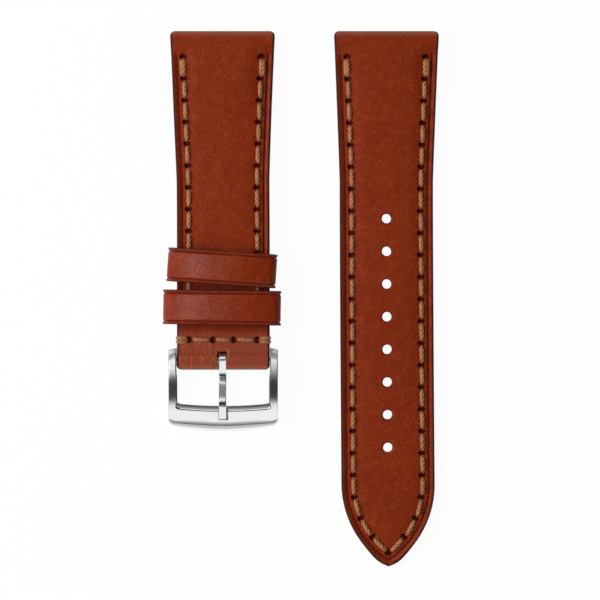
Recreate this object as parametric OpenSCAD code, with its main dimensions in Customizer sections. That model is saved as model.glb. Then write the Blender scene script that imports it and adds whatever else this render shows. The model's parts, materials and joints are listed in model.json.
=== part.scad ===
// Stitched leather watch strap in two halves, laid flat with its face up.
// The buckle half carries the keepers and the pin buckle, the tail half the row of holes.
// X runs across the strap, Y along it with both lug ends at +Y, Z up from the table.

/* [Lengths] */
// Length of the tail half, from its lug end to its tip
tail_len = 112.4; // [100:0.1:125]
// Length of the buckle half's leather, from its lug end to the turn round the bar
buckle_len = 71.1; // [66:0.1:82]
// Clear space between the two lug ends as they lie
halves_gap = 12.4; // [8:0.1:24]

/* [Widths] */
// Width of both halves at the watch
lug_w = 22; // [21:0.5:24]
// Width of the buckle half at the buckle
buckle_w = 19.2; // [18:0.1:20]
// Width of the tail half along its holes
tail_w = 19.6; // [18.6:0.1:20]
// Length over which both halves narrow from the lug end
taper_len = 42; // [30:1:45]
// Length of the tail's pointed tip
tip_len = 17.3; // [12:0.1:20]
// Radius of the blunt end of that tip
tip_nose_r = 0.9; // [0.5:0.1:1.5]
// Radius of the corners at the lug ends
lug_corner_r = 0.8; // [0.4:0.1:1.2]
// Radius of the corners at the turned end
turn_corner_r = 1.1; // [0.5:0.1:1.5]

/* [Leather] */
// Thickness of the cover leather
cover_t = 1; // [0.8:0.05:1.3]
// Thickness of the lining leather
lining_t = 0.8; // [0.7:0.05:1.1]
// Thickness of the filler along the edges
filler_t = 0.5; // [0.4:0.05:0.8]
// Glue line between two layers
glue = 0.05; // [0.03:0.01:0.06]
// Extra filler thickness along the edges towards the lug end
lug_filler = 0.5; // [0.2:0.1:0.8]
// Height of the padding above the edges towards the lug end
pad_h = 1.2; // [0.6:0.1:1.5]
// Share of the padding's height that is gone at its far end
pad_fade = 0.75; // [0.5:0.05:0.9]
// Distance from the edge at which the padding starts to rise
pad_from = 3.5; // [3.2:0.1:4.2]
// Width over which the padding rises to its full height
pad_rise = 2.3; // [1.5:0.1:3]
// Rounding of the upper edges
edge_round = 0.25; // [0.1:0.05:0.35]
// Lift of the underside along the edges
edge_lift = 0.4; // [0.2:0.05:0.45]

/* [Lug end] */
// Thickness of the leather rolled round the watch's bar
lug_t = 4.2; // [3.8:0.1:4.6]
// Radius of the tunnel for the watch's bar
tunnel_r = 0.95; // [0.8:0.05:1.1]
// Length of the flap turned under at the lug end
flap_len = 10; // [8:0.5:14]

/* [Seams] */
// Distance of the seams from the edge
seam_in = 2.55; // [2.3:0.05:2.8]
// First stitch hole from the lug end
seam_first = 5.45; // [5:0.05:7]
// Distance between stitch holes
stitch = 4.57; // [4:0.01:5.5]
// Diameter of the sewing thread
thread_d = 0.9; // [0.6:0.05:0.95]
// Distance of the cross seam from the turned end
cross_seam_in = 6.3; // [6:0.1:7]

/* [Adjustment holes] */
// Number of holes
hole_count = 8; // [5:1:9]
// Diameter of a hole
hole_d = 2; // [1.7:0.1:2.4]
// Distance between holes
hole_pitch = 6.86; // [6:0.02:7]
// Distance of the last hole from the tip
hole_last = 25; // [22:0.5:30]

/* [Keepers] */
// Thickness of the keeper leather
keeper_t = 1; // [0.8:0.05:1.1]
// Length of the fixed keeper along the strap
fixed_keeper_w = 7; // [6:0.1:7.4]
// Clear space beside the strap inside the fixed keeper
fixed_keeper_room = 1.6; // [1.2:0.1:1.9]
// Middle of the fixed keeper from the turned end
fixed_keeper_in = 13; // [12.8:0.1:14]
// Turn of the fixed keeper as seen from above
fixed_keeper_turn = -0.8; // [-1.5:0.1:1.5]
// Length of the free keeper along the strap
free_keeper_w = 6.9; // [5.5:0.1:7.2]
// Clear space beside the strap inside the free keeper
free_keeper_room = 0.75; // [0.6:0.05:1]
// Gap between the middles of the two keepers, less their half lengths
keepers_gap = 1.45; // [1.2:0.05:2]
// Turn of the free keeper as seen from above
free_keeper_turn = -4; // [-4.5:0.1:0]
// Clear height above the strap inside both keepers
keeper_room = 2.7; // [2.4:0.1:3]
// Running gap between the free keeper and the strap's underside
keeper_slip = 0.3; // [0.3:0.05:0.5]

/* [Buckle frame] */
// Distance from the bar to the front of the frame
frame_len = 15; // [14:0.1:17]
// Width of each arm
arm_w = 1.65; // [1.5:0.05:2.2]
// Gap between an arm and the leather
arm_gap = 0.3; // [0.3:0.05:0.5]
// Thickness of the arched arms and front bar
frame_t = 2.2; // [1.8:0.1:2.5]
// Radius of the ears round the bar
ear_r = 2.3; // [2:0.1:2.4]
// Rise of the arch above a straight line
arch_rise = 1; // [0.7:0.1:1.3]
// Length of the front bar along the strap, at its middle
front_bar_w = 5.2; // [4.4:0.1:5.6]
// Radius of the front edge as seen from above
front_r = 51.5; // [40:0.5:80]
// Radius of the window's front edge as seen from above
window_r = 90; // [60:1:120]
// Radius of the rounding at the top of the front edge
nose_r = 2; // [1.2:0.1:2.2]

/* [Tongue] */
// Width of the tongue
tongue_w = 1.57; // [1.3:0.01:1.8]
// Thickness of the tongue
tongue_t = 1.1; // [0.9:0.05:1.2]
// Distance from the bar to the tongue's tip
tongue_len = 12.45; // [12.2:0.05:12.7]
// Gap between the tongue and the sides of its slot in the leather
slot_gap = 0.3; // [0.3:0.01:0.4]
// Gap between the tongue and its notch in the front bar
notch_gap = 0.12; // [0.1:0.01:0.15]

/* [Spring bar] */
// Diameter of the barrel
barrel_d = 1.8; // [1.6:0.05:1.9]
// Wall of the barrel
barrel_wall = 0.2; // [0.15:0.01:0.22]
// Diameter of the tips in the ears
tip_d = 0.9; // [0.8:0.02:0.9]
// Depth of the tips in the ears
tip_in = 1; // [0.8:0.05:1.1]
// Radial clearance of each turning fit
turn_gap = 0.05; // [0.03:0.01:0.08]
// Diameter of the plunger's collar outside the barrel
collar_d = 1.6; // [1.4:0.05:1.7]
// Width of that collar
collar_w = 0.5; // [0.4:0.05:0.6]
// Turns of the spring inside the barrel
spring_turns = 14; // [10:1:18]
// Diameter of the spring's wire
wire_d = 0.16; // [0.12:0.01:0.2]

/* [Hidden] */

leather = [0.53, 0.21, 0.1];
lining_tan = [0.72, 0.55, 0.38];
filler_grey = [0.75, 0.72, 0.66];
thread_gold = [0.72, 0.47, 0.27];
steel = [0.75, 0.75, 0.76];

// Layers, from the underside up
stack_t = lining_t + filler_t + cover_t + 2 * glue;
roll_r = lug_t / 2;
keeper_under = keeper_t + keeper_slip;
turn_t = (stack_t - glue) / 2;
turn_bore_r = barrel_d / 2 + turn_gap;
turn_r = turn_bore_r - glue + turn_t;

// Stations along the buckle half, measured from the lug end
bar_s = buckle_len - turn_r;
bar_z = keeper_under + stack_t / 2;
cross_s = buckle_len - cross_seam_in;
fixed_s = buckle_len - fixed_keeper_in;
filler_end = fixed_s - fixed_keeper_w / 2 - 0.5;
lining_end = fixed_s + fixed_keeper_w / 2 + 0.8;
free_s = fixed_s - fixed_keeper_w / 2 - keepers_gap - free_keeper_w / 2;
rise_from = 0.12 * buckle_len;
rise_to = 0.4 * buckle_len;

// The tip's outline is two arcs that meet in a point
tip_s = tail_len - tip_len;
tip_r = (tip_len * tip_len + tail_w * tail_w / 4) / tail_w;
tip_back = tip_r - tail_w / 2;

// Keepers and where the two halves lie
keeper_inside_w = buckle_w + 2 * fixed_keeper_room;
keeper_reach = (keeper_inside_w / 2 + keeper_t) * cos(fixed_keeper_turn)
    + fixed_keeper_w / 2 * abs(sin(fixed_keeper_turn));
halves_apart = lug_w + halves_gap;
buckle_x = -(halves_apart + lug_w / 2 - keeper_reach) / 2;
tail_x = buckle_x + halves_apart;
lug_y = tail_len / 2;
strap_top = keeper_under + stack_t;
keeper_top = strap_top + keeper_room;

function clamp(t) = min(1, max(0, t));
function smooth(t) = clamp(t) * clamp(t) * (3 - 2 * clamp(t));
function mix(a, b, t) = a + (b - a) * t;
function round_off(r, t) = t >= r ? 0 : r - sqrt(max(0, r * r - (r - t) * (r - t)));

// Half the width of a half at distance s from its lug end
function half_w(tail, s) =
    let (
        end_w = tail ? tail_w : buckle_w,
        straight = (end_w + (lug_w - end_w) * pow(max(0, 1 - s / taper_len), 1.4)) / 2,
        past = s - tip_s,
        pointed = sqrt(max(0, tip_r * tip_r - past * past)) - tip_back,
        nose = sqrt(max(0, 2 * tip_nose_r * (tail_len - s)))
    )
    tail && s > tip_s ? max(0.1, pointed, nose)
    : straight - round_off(lug_corner_r, s)
        - (tail ? 0 : round_off(turn_corner_r, buckle_len - s));

// Distance of a point from the outline of its half
function from_edge(tail, s, x) =
    tail && s > tip_s
    ? max(0, tip_r - norm([abs(x) + tip_back, s - tip_s]))
    : half_w(tail, s) - abs(x);

// Heights of the surfaces between the layers
function underside(tail, s) =
    tail ? 0 : keeper_under * smooth((s - rise_from) / (rise_to - rise_from));
function lifted(tail, s, x) =
    underside(tail, s) + edge_lift * (1 - smooth(from_edge(tail, s, x) / (pad_from + 1)));
function padding(tail, s) =
    let (far = tail ? tail_len : filler_end)
    pad_h * (1 - pad_fade * s / far) * (tail ? 1 : 1 - smooth((s - far + 7) / 7));
function flat_top(tail, s, x) =
    let (
        body = underside(tail, s) + stack_t + lug_filler * (1 - smooth(s / taper_len)),
        raised = padding(tail, s) * smooth((from_edge(tail, s, x) - pad_from) / pad_rise)
    )
    mix(lug_t, body + raised, smooth((s - roll_r) / 3.6));
function face(tail, s, x) =
    flat_top(tail, s, x) - round_off(edge_round, from_edge(tail, s, x));
function under_top(tail, s) =
    underside(tail, s) + mix(roll_r - tunnel_r + glue, lining_t, smooth((s - roll_r) / 2.4));
function cover_low(tail, s, x) =
    mix(roll_r + tunnel_r - glue, flat_top(tail, s, x) - cover_t, smooth((s - roll_r) / 2.4));

function spot(tail, x, s, z) = [(tail ? tail_x : buckle_x) + x, lug_y - s, z];

// Places across the width, as shares of half the width, from the left edge to the right
edge_steps = [0, 0.3, seam_in, pad_from, pad_from + pad_rise / 2, pad_from + pad_rise];
function across(steps) =
    let (side = [for (e = steps) 1 - e / (buckle_w / 2)])
    concat([for (v = side) -v], [0], [for (i = [len(side) - 1:-1:0]) side[i]]);
wide = across(edge_steps);
coarse = across([0, pad_from, pad_from + pad_rise / 2, pad_from + pad_rise]);
plain = across([0, seam_in, pad_from + 1]);

// One closed section: an upper row from left to right and a lower row back
function section(tail, s, shares, upper, lower) =
    let (w = half_w(tail, s), last = len(shares) - 1)
    concat(
        [for (v = shares) spot(tail, v * w, s, upper(v * w))],
        [for (i = [last:-1:0]) spot(tail, shares[i] * w, s, lower(shares[i] * w))]
    );

// Solid through a row of sections that have equally many points
module loft(sections) {
    n = len(sections[0]);
    m = len(sections);
    half = n / 2;
    function quad(a, b, c, d) = [[a, b, c], [a, c, d]];
    sides = [
        for (i = [0:m - 2], j = [0:n - 1])
            each quad(i * n + j, i * n + (j + 1) % n, (i + 1) * n + (j + 1) % n, (i + 1) * n + j)
    ];
    first = [for (j = [0:half - 2]) each quad(j, n - 1 - j, n - 2 - j, j + 1)];
    base = (m - 1) * n;
    last = [
        for (j = [0:half - 2])
            each quad(base + j, base + j + 1, base + n - 2 - j, base + n - 1 - j)
    ];
    polyhedron(points = [for (s = sections) each s], faces = concat(sides, first, last));
}

// Sections of cover leather: on the face, on a flap beneath, and round a bar
function face_section(tail, s) =
    section(tail, s, wide, function(x) face(tail, s, x), function(x) cover_low(tail, s, x));
function flap_section(tail, s) =
    section(tail, s, wide, function(x) lifted(tail, s, x), function(x) under_top(tail, s));
function bend_section(tail, mid_s, mid_z, inner, outer, angle) =
    let (
        w = half_w(tail, mid_s + outer * cos(angle)),
        last = len(wide) - 1,
        point = function(v, r) spot(tail, v * w, mid_s + r * cos(angle), mid_z + r * sin(angle))
    )
    concat(
        [for (v = wide) point(v, outer - round_off(edge_round, w * (1 - abs(v))))],
        [for (i = [last:-1:0]) point(wide[i], inner)]
    );
function turn_section(s, way) =
    let (
        parted = mix(glue / 2, turn_bore_r - glue, smooth((s - bar_s) / turn_r + 1)),
        outer = function(x) parted + turn_t - round_off(edge_round, from_edge(false, s, x))
    )
    section(false, s, wide, function(x) bar_z + way * outer(x), function(x) bar_z + way * parted);
function lug_sections(tail) = concat(
    [for (s = [flap_len, 0.6 * flap_len, roll_r + 1.6]) flap_section(tail, s)],
    [
        for (angle = [270:-22.5:90])
            bend_section(tail, roll_r, roll_r, tunnel_r - glue, roll_r, angle)
    ],
    [for (rise = [0.7:0.9:5.2]) face_section(tail, roll_r + rise)]
);

// Stations along the face behind the lug end
face_from = roll_r + 6;
function spaced(from, to, count) = [for (i = [0:count]) mix(from, to, i / count)];
tip_angle = asin(tip_len / tip_r);
tip_stations = concat(
    [for (i = [1:8]) tip_s + tip_r * sin(tip_angle * i / 9)],
    [for (t = [0.9, 0.4, 0.12, 0]) tail_len - t]
);
buckle_stations = concat(
    spaced(face_from, filler_end - 8, 8),
    spaced(filler_end - 6.5, filler_end, 4),
    [fixed_s, lining_end - 0.3]
);
tail_stations = concat(spaced(face_from, tip_s, 14), tip_stations);
turn_stations = concat(
    spaced(lining_end + glue, bar_s - turn_r, 2),
    [for (share = [0.7, 0.4, 0.2]) bar_s - share * turn_r]
);

// A hole along X round a bar
module cross_bore(tail, s, z, r) {
    translate(spot(tail, 0, s, z))
        rotate([0, 90, 0])
            cylinder(h = 2 * lug_w, r = r, center = true, $fn = 64);
}
module tunnel(tail) {
    cross_bore(tail, roll_r, roll_r, tunnel_r);
}
module adjustment_holes() {
    for (i = [0:hole_count - 1])
        translate(spot(true, 0, tail_len - hole_last - i * hole_pitch, -1))
            cylinder(h = lug_t + pad_h + 4, d = hole_d, $fn = 48);
}
module tongue_slot() {
    reach = tongue_curl_r + slot_gap;
    translate(spot(false, 0, bar_s - reach, bar_z))
        translate([-tongue_w / 2 - slot_gap, -reach - 2 * turn_r, -2 * turn_r])
            cube([tongue_w + 2 * slot_gap, reach + 2 * turn_r, 4 * turn_r]);
}

// Leather, filler and lining of each half
module buckle_half_cover() {
    color(leather)
        difference() {
            loft(concat(
                lug_sections(false),
                [for (s = buckle_stations) face_section(false, s)],
                [for (s = turn_stations) turn_section(s, 1)],
                [
                    for (angle = [90:-22.5:-90])
                        bend_section(false, bar_s, bar_z, turn_bore_r - glue, turn_r, angle)
                ],
                [for (i = [len(turn_stations) - 1:-1:0]) turn_section(turn_stations[i], -1)]
            ));
            tunnel(false);
            cross_bore(false, bar_s, bar_z, turn_bore_r);
            tongue_slot();
        }
}
module tail_half_cover() {
    color(leather)
        difference() {
            loft(concat(
                lug_sections(true),
                [for (s = tail_stations) face_section(true, s)]
            ));
            tunnel(true);
            adjustment_holes();
        }
}
module filler(tail, stations) {
    function layer(s) = section(
        tail, s, coarse,
        function(x) cover_low(tail, s, x) - glue,
        function(x) under_top(tail, s) + glue
    );
    first = [for (rise = [0.25, 1, 1.8, 2.6, 3.4, 4.6]) layer(roll_r + rise)];
    loft(concat(first, [for (s = stations) layer(s)]));
}
module buckle_half_filler() {
    color(filler_grey)
        difference() {
            filler(false, concat(
                spaced(face_from, filler_end - 8, 6),
                spaced(filler_end - 6, filler_end, 3)
            ));
            tunnel(false);
        }
}
module tail_half_filler() {
    color(filler_grey)
        difference() {
            filler(true, concat(spaced(face_from, tip_s, 10), tip_stations));
            tunnel(true);
            adjustment_holes();
        }
}
module lining(tail, stations) {
    loft([
        for (s = stations)
            section(
                tail, s, plain,
                function(x) under_top(tail, s),
                function(x) lifted(tail, s, x)
            )
    ]);
}
module buckle_half_lining() {
    color(lining_tan)
        lining(false, spaced(flap_len + glue, lining_end, 12));
}
module tail_half_lining() {
    color(lining_tan)
        difference() {
            lining(true, concat(spaced(flap_len + glue, tip_s, 8), tip_stations));
            adjustment_holes();
        }
}

// Sewing thread as a tube along points, each with the direction across the seam
module thread(path, sides) {
    r = thread_d / 2;
    last = len(path) - 1;
    function unit(v) = v / norm(v);
    function ring(i) =
        let (
            along = unit(path[min(last, i + 1)][0] - path[max(0, i - 1)][0]),
            side = unit(path[i][1] - (path[i][1] * along) * along),
            up = cross(along, side)
        )
        [for (a = [0:sides - 1])
            path[i][0] + r * (cos(360 * a / sides) * side + sin(360 * a / sides) * up)];
    walls = [
        for (i = [0:last - 1], a = [0:sides - 1])
            let (b = (a + 1) % sides, here = i * sides, next = here + sides)
            each [[here + a, next + b, here + b], [here + a, next + a, next + b]]
    ];
    caps = [
        for (a = [1:sides - 2])
            each [[0, a, a + 1], [last * sides, last * sides + a + 1, last * sides + a]]
    ];
    polyhedron(points = [for (i = [0:last]) each ring(i)], faces = concat(walls, caps));
}

// Place on a seam at a distance along it: across, along, and the direction across the seam
seam_tip_r = tip_r - seam_in;
seam_tip_angle = acos(tip_back / seam_tip_r);
seam_tip_len = seam_tip_r * seam_tip_angle * PI / 180;
function seam_place(tail, side, far) =
    let (angle = (far - tip_s) / seam_tip_r * 180 / PI)
    tail && far > tip_s
    ? [side * (seam_tip_r * cos(angle) - tip_back), tip_s + seam_tip_r * sin(angle),
        [side * cos(angle), -sin(angle), 0]]
    : [side * (half_w(tail, far) - seam_in), far, [side, 0, 0]];
// The threads lock half way through the strap
function lock_z(tail, x, s) = (face(tail, s, x) + underside(tail, s)) / 2;
function seam_point(tail, side, far, below, locked) =
    let (
        place = seam_place(tail, side, far),
        x = place[0],
        s = place[1],
        r = thread_d / 2,
        lock = lock_z(tail, x, s) + (below ? -1 : 1) * (r + glue),
        lying = below ? underside(tail, s) + r + glue / 2 : face(tail, s, x) + r / 4
    )
    [spot(tail, x, s, locked ? lock : lying), place[2]];
// One stitch after another from hole to hole, then the lock in the last hole
function seam_run(tail, side, pitch, holes, below) = concat(
    [
        for (i = [0:holes - 2], part = [0, 0.2, 0.5, 0.8])
            seam_point(tail, side, seam_first + (i + part) * pitch, below, part == 0)
    ],
    [seam_point(tail, side, seam_first + (holes - 1) * pitch, below, true)]
);
buckle_holes = floor((lining_end - 1 - seam_first) / stitch) + 1;
tail_seam_len = tip_s + seam_tip_len - seam_first;
tail_gaps = round(tail_seam_len / stitch);
// The tail's seam runs down one side and up the other, and turns in the hole at its tip
function tail_run(below) =
    let (
        pitch = tail_seam_len / tail_gaps,
        left = seam_run(true, -1, pitch, tail_gaps + 1, below),
        right = seam_run(true, 1, pitch, tail_gaps + 1, below),
        tip = left[len(left) - 1][0]
    )
    concat(
        [for (i = [0:len(left) - 2]) left[i]],
        [[tip, [0, -1, 0]]],
        [for (i = [len(right) - 2:-1:0]) [right[i][0], -right[i][1]]]
    );
module left_seam_thread() {
    color(thread_gold) thread(seam_run(false, -1, stitch, buckle_holes, false), 6);
}
module right_seam_thread() {
    color(thread_gold) thread(seam_run(false, 1, stitch, buckle_holes, false), 6);
}
module left_seam_under_thread() {
    color(thread_gold) thread(seam_run(false, -1, stitch, buckle_holes, true), 4);
}
module right_seam_under_thread() {
    color(thread_gold) thread(seam_run(false, 1, stitch, buckle_holes, true), 4);
}
module tail_seam_thread() {
    color(thread_gold) thread(tail_run(false), 6);
}
module tail_seam_under_thread() {
    color(thread_gold) thread(tail_run(true), 4);
}

// The cross seam has three stitches between its holes and wraps round both edges
cross_holes = [for (i = [-1.5, -0.5, 0.5, 1.5]) i * stitch];
cross_top = bar_z + turn_t + glue / 2;
cross_low = bar_z - turn_t - glue / 2;
function cross_point(x, z) = [spot(false, x, cross_s, z), [0, 1, 0]];
module cross_seam_thread() {
    r = thread_d / 2;
    lying = cross_top + r / 4;
    lock = bar_z + r + glue;
    edge = half_w(false, cross_s) + r / 2;
    outer = cross_holes[3];
    over = [
        for (i = [0:2], part = [0, 0.2, 0.5, 0.8])
            cross_point(cross_holes[i] + part * stitch, part == 0 ? lock : lying)
    ];
    wrap = [
        [outer, lock], [outer + 0.9, lying], [edge - 0.5, lying], [edge, cross_top - 0.4],
        [edge, cross_low + 0.4], [edge - 0.5, cross_low], [outer + 0.9, cross_low]
    ];
    color(thread_gold)
        thread(concat(
            [for (i = [len(wrap) - 1:-1:1]) cross_point(-wrap[i][0], wrap[i][1])],
            over,
            [for (p = wrap) cross_point(p[0], p[1])]
        ), 6);
}
module cross_seam_under_thread() {
    r = thread_d / 2;
    color(thread_gold)
        thread(concat(
            [
                for (i = [0:2], part = [0, 0.2, 0.5, 0.8])
                    cross_point(
                        cross_holes[i] + part * stitch,
                        part == 0 ? bar_z - r - glue : cross_low - r / 4
                    )
            ],
            [cross_point(cross_holes[3], bar_z - r - glue)]
        ), 4);
}

// Keepers
function arc(mid, r, from, to, count) = [
    for (i = [0:count])
        let (angle = mix(from, to, i / count)) mid + r * [cos(angle), sin(angle)]
];
function crowned(half, high, crown, count) = [
    for (i = [1:count - 1])
        let (share = 1 - 2 * i / count) [share * half, high - crown * share * share]
];
module round_the_strap(s, turn, band_w) {
    translate(spot(false, 0, s, 0))
        rotate([0, 0, turn])
            rotate([90, 0, 0])
                linear_extrude(height = band_w, center = true)
                    children();
}
keeper_crown = 0.35;
keeper_corner_r = 1.3;
module fixed_keeper() {
    wall_x = keeper_inside_w / 2 + keeper_t / 2;
    leg_z = keeper_under + lining_t + glue + filler_t / 2;
    high = keeper_top + keeper_t / 2;
    bend = keeper_corner_r + keeper_t / 2;
    edge = buckle_w / 2;
    side = concat(
        [[edge - seam_in - 1.5, leg_z], [edge + 0.15, leg_z]],
        arc([wall_x - bend, leg_z + bend], bend, -80, 0, 7),
        arc([wall_x - bend, high - keeper_crown - bend], bend, 0, 80, 7)
    );
    path = concat(
        side,
        crowned(wall_x - bend, high, keeper_crown, 10),
        [for (i = [len(side) - 1:-1:0]) [-side[i][0], side[i][1]]]
    );
    last = len(path) - 1;
    // The legs are pared down to the filler's thickness where they lie between the layers
    function thickness(x, z) =
        z > leg_z + bend ? keeper_t : mix(filler_t, keeper_t, clamp((abs(x) - edge - 0.15) / 1.2));
    function offset_by(i, share) =
        let (
            v = path[min(last, i + 1)] - path[max(0, i - 1)],
            normal = [v[1], -v[0]] / norm(v)
        )
        path[i] + normal * share * thickness(path[i][0], path[i][1]);
    color(leather)
        round_the_strap(fixed_s, fixed_keeper_turn, fixed_keeper_w)
            polygon(concat(
                [for (i = [0:last]) offset_by(i, 0.5)],
                [for (i = [last:-1:0]) offset_by(i, -0.5)]
            ));
}
module free_keeper() {
    inside = half_w(false, free_s) + free_keeper_room;
    // One side of the band: rounded corners, flat below and crowned above
    module outline(grow) {
        w = inside + grow;
        r = keeper_corner_r + grow;
        low = keeper_t - grow;
        high = keeper_top + grow - keeper_crown;
        polygon(concat(
            arc([w - r, low + r], r, -90, 0, 8),
            arc([w - r, high - r], r, 0, 82, 8),
            crowned(w - r, high + keeper_crown, keeper_crown, 10),
            arc([r - w, high - r], r, 98, 180, 8),
            arc([r - w, low + r], r, 180, 270, 8)
        ));
    }
    color(leather)
        round_the_strap(free_s, free_keeper_turn, free_keeper_w)
            difference() {
                outline(keeper_t);
                outline(0);
                // Slanted joint where the strip's pared ends overlap
                translate([0, keeper_t / 2])
                    rotate(10)
                        square([keeper_t * 8, glue], center = true);
            }
}

// Buckle, about the bar's axis: X along the bar, -Y forward, Z up
frame_inside = buckle_w / 2 + arm_gap;
frame_outside = frame_inside + arm_w;
arch_start = [0, ear_r];
arch_end = [frame_len, 1.12 * frame_t + glue - bar_z];
arch_chord = norm(arch_end - arch_start);
arch_r = (arch_chord * arch_chord / 4 + arch_rise * arch_rise) / (2 * arch_rise);
arch_way = (arch_end - arch_start) / arch_chord;
arch_mid = (arch_start + arch_end) / 2 - [-arch_way[1], arch_way[0]] * (arch_r - arch_rise);
function arch_top(d) = arch_mid[1] + sqrt(arch_r * arch_r - pow(d - arch_mid[0], 2));
nose_d = frame_len - nose_r;
nose_z = arch_mid[1] + sqrt(pow(arch_r - nose_r, 2) - pow(nose_d - arch_mid[0], 2));
tip_r_bar = tip_d / 2;
collar_x = frame_inside - arm_gap;
barrel_end = collar_x - collar_w - tip_in - 0.2;
plunger_travel = tip_in + 0.1;
barrel_in_r = barrel_d / 2 - barrel_wall;
crimp_w = 0.4;
head_len = 1.5;
head_x = barrel_end - crimp_w - glue;
tongue_curl_in = barrel_d / 2 + turn_gap;
tongue_curl_r = tongue_curl_in + 0.5;
notch_depth = 0.55;

module at_bar() {
    translate(spot(false, 0, bar_s, bar_z)) children();
}
module along_bar(length, r) {
    rotate([0, 90, 0]) cylinder(h = length, r = r, center = true, $fn = 96);
}
// Extrudes an outline drawn as [forward, up] to a width along the bar
module side_profile(width, outline) {
    rotate([90, 0, 90])
        linear_extrude(height = width, center = true)
            polygon([for (p = outline) [-p[0], p[1]]]);
}
// Middle line of the tongue from its curl to its tip
tip_z = arch_top(tongue_len) - notch_depth + notch_gap + tongue_t / 2;
tongue_line = [
    [tongue_curl_r - 0.3, 0.1], [0.29 * tongue_len, 0.1],
    [0.61 * tongue_len, tip_z + 1], [tongue_len, tip_z]
];
function bezier(p, t) =
    pow(1 - t, 3) * p[0] + 3 * t * pow(1 - t, 2) * p[1]
    + 3 * t * t * (1 - t) * p[2] + t * t * t * p[3];
function tongue_edge(t, away) =
    let (v = bezier(tongue_line, t + 0.01) - bezier(tongue_line, t - 0.01))
    bezier(tongue_line, t) + away * [-v[1], v[0]] / norm(v);

module buckle_frame() {
    wide_all = 2 * frame_outside;
    color(steel)
        at_bar()
            difference() {
                intersection() {
                    union() {
                        along_bar(wide_all, ear_r);
                        arched_band(wide_all);
                    }
                    plan();
                }
                for (side = [-1, 1])
                    translate([side * (frame_inside + tip_in / 2), 0, 0])
                        along_bar(tip_in + 0.2, tip_r_bar + turn_gap);
                notch();
            }
    // The arch seen from the side, with its front rounded over
    module arched_band(width) {
        intersection() {
            translate([0, -arch_mid[0], arch_mid[1]])
                difference() {
                    along_bar(width, arch_r);
                    along_bar(width + 1, arch_r - frame_t);
                }
            union() {
                translate([-width / 2, -nose_d, -bar_z])
                    cube([width, nose_d, 3 * bar_z]);
                translate([0, -nose_d, nose_z]) along_bar(width, nose_r);
                translate([-width / 2, -frame_len, -bar_z])
                    cube([width, nose_r, bar_z + nose_z]);
            }
        }
    }
    // The frame seen from above, open towards the strap
    module plan() {
        tall = 6 * ear_r;
        window_d = frame_len - front_bar_w;
        translate([0, 0, -tall / 2])
            linear_extrude(height = tall)
                difference() {
                    intersection() {
                        translate([-frame_outside, -frame_len - 1])
                            square([wide_all, frame_len + 1 + ear_r]);
                        translate([0, front_r - frame_len]) circle(r = front_r, $fn = 360);
                    }
                    intersection() {
                        translate([-frame_inside, -window_d])
                            square([2 * frame_inside, window_d + 2 * ear_r]);
                        translate([0, window_r - window_d]) circle(r = window_r, $fn = 360);
                    }
                }
    }
    // Seat for the tongue's tip, cut to the tongue's own underside
    module notch() {
        low = [for (t = [0.6:0.05:1.001]) tongue_edge(t, -tongue_t / 2 - notch_gap)];
        end = tongue_len + notch_gap + 0.1;
        side_profile(
            tongue_w + 2 * slot_gap,
            concat(low, [[end, low[len(low) - 1][1]], [end, 2 * bar_z], [low[0][0], 2 * bar_z]])
        );
    }
}
module buckle_tongue() {
    steps = 24;
    color(steel)
        at_bar()
            difference() {
                union() {
                    along_bar(tongue_w, tongue_curl_r);
                    side_profile(tongue_w, concat(
                        [for (i = [0:steps]) tongue_edge(i / steps, tongue_t / 2)],
                        [for (i = [steps:-1:0]) tongue_edge(i / steps, -tongue_t / 2)]
                    ));
                }
                along_bar(tongue_w + 1, tongue_curl_in);
            }
}
module spring_bar_barrel() {
    color(steel)
        at_bar()
            difference() {
                along_bar(2 * barrel_end, barrel_d / 2);
                along_bar(2 * (barrel_end - crimp_w), barrel_in_r);
                along_bar(2 * barrel_end + 1, tip_r_bar + turn_gap);
            }
}
module plunger(side) {
    at_bar()
        rotate([0, side * 90, 0]) {
            translate([0, 0, head_x - head_len])
                cylinder(h = head_len, r = barrel_in_r - turn_gap, $fn = 48);
            translate([0, 0, head_x - head_len / 2])
                cylinder(h = frame_inside + tip_in - head_x + head_len / 2, r = tip_r_bar, $fn = 48);
            translate([0, 0, collar_x - collar_w])
                cylinder(h = collar_w, d = collar_d, $fn = 48);
        }
}
module spring_bar_left_plunger() {
    color(steel) plunger(-1);
}
module spring_bar_right_plunger() {
    color(steel) plunger(1);
}
module spring_bar_spring() {
    sides = 4;
    per_turn = 8;
    half = head_x - head_len - glue - wire_d / 2;
    r = barrel_in_r - wire_d / 2 - turn_gap;
    count = spring_turns * per_turn;
    function coil(i) =
        let (angle = 360 * i / per_turn)
        [mix(-half, half, i / count), r * cos(angle), r * sin(angle)];
    function wire_ring(i) =
        let (
            angle = 360 * i / per_turn,
            out = [0, cos(angle), sin(angle)]
        )
        [for (a = [0:sides - 1])
            coil(i) + wire_d / 2 * (cos(90 * a) * out + sin(90 * a) * [1, 0, 0])];
    walls = [
        for (i = [0:count - 1], a = [0:sides - 1])
            let (b = (a + 1) % sides, here = i * sides, next = here + sides)
            each [[here + a, here + b, next + b], [here + a, next + b, next + a]]
    ];
    end = count * sides;
    caps = [[0, 2, 1], [0, 3, 2], [end, end + 1, end + 2], [end, end + 2, end + 3]];
    color(steel)
        at_bar()
            polyhedron(points = [for (i = [0:count]) each wire_ring(i)], faces = concat(walls, caps));
}

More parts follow.
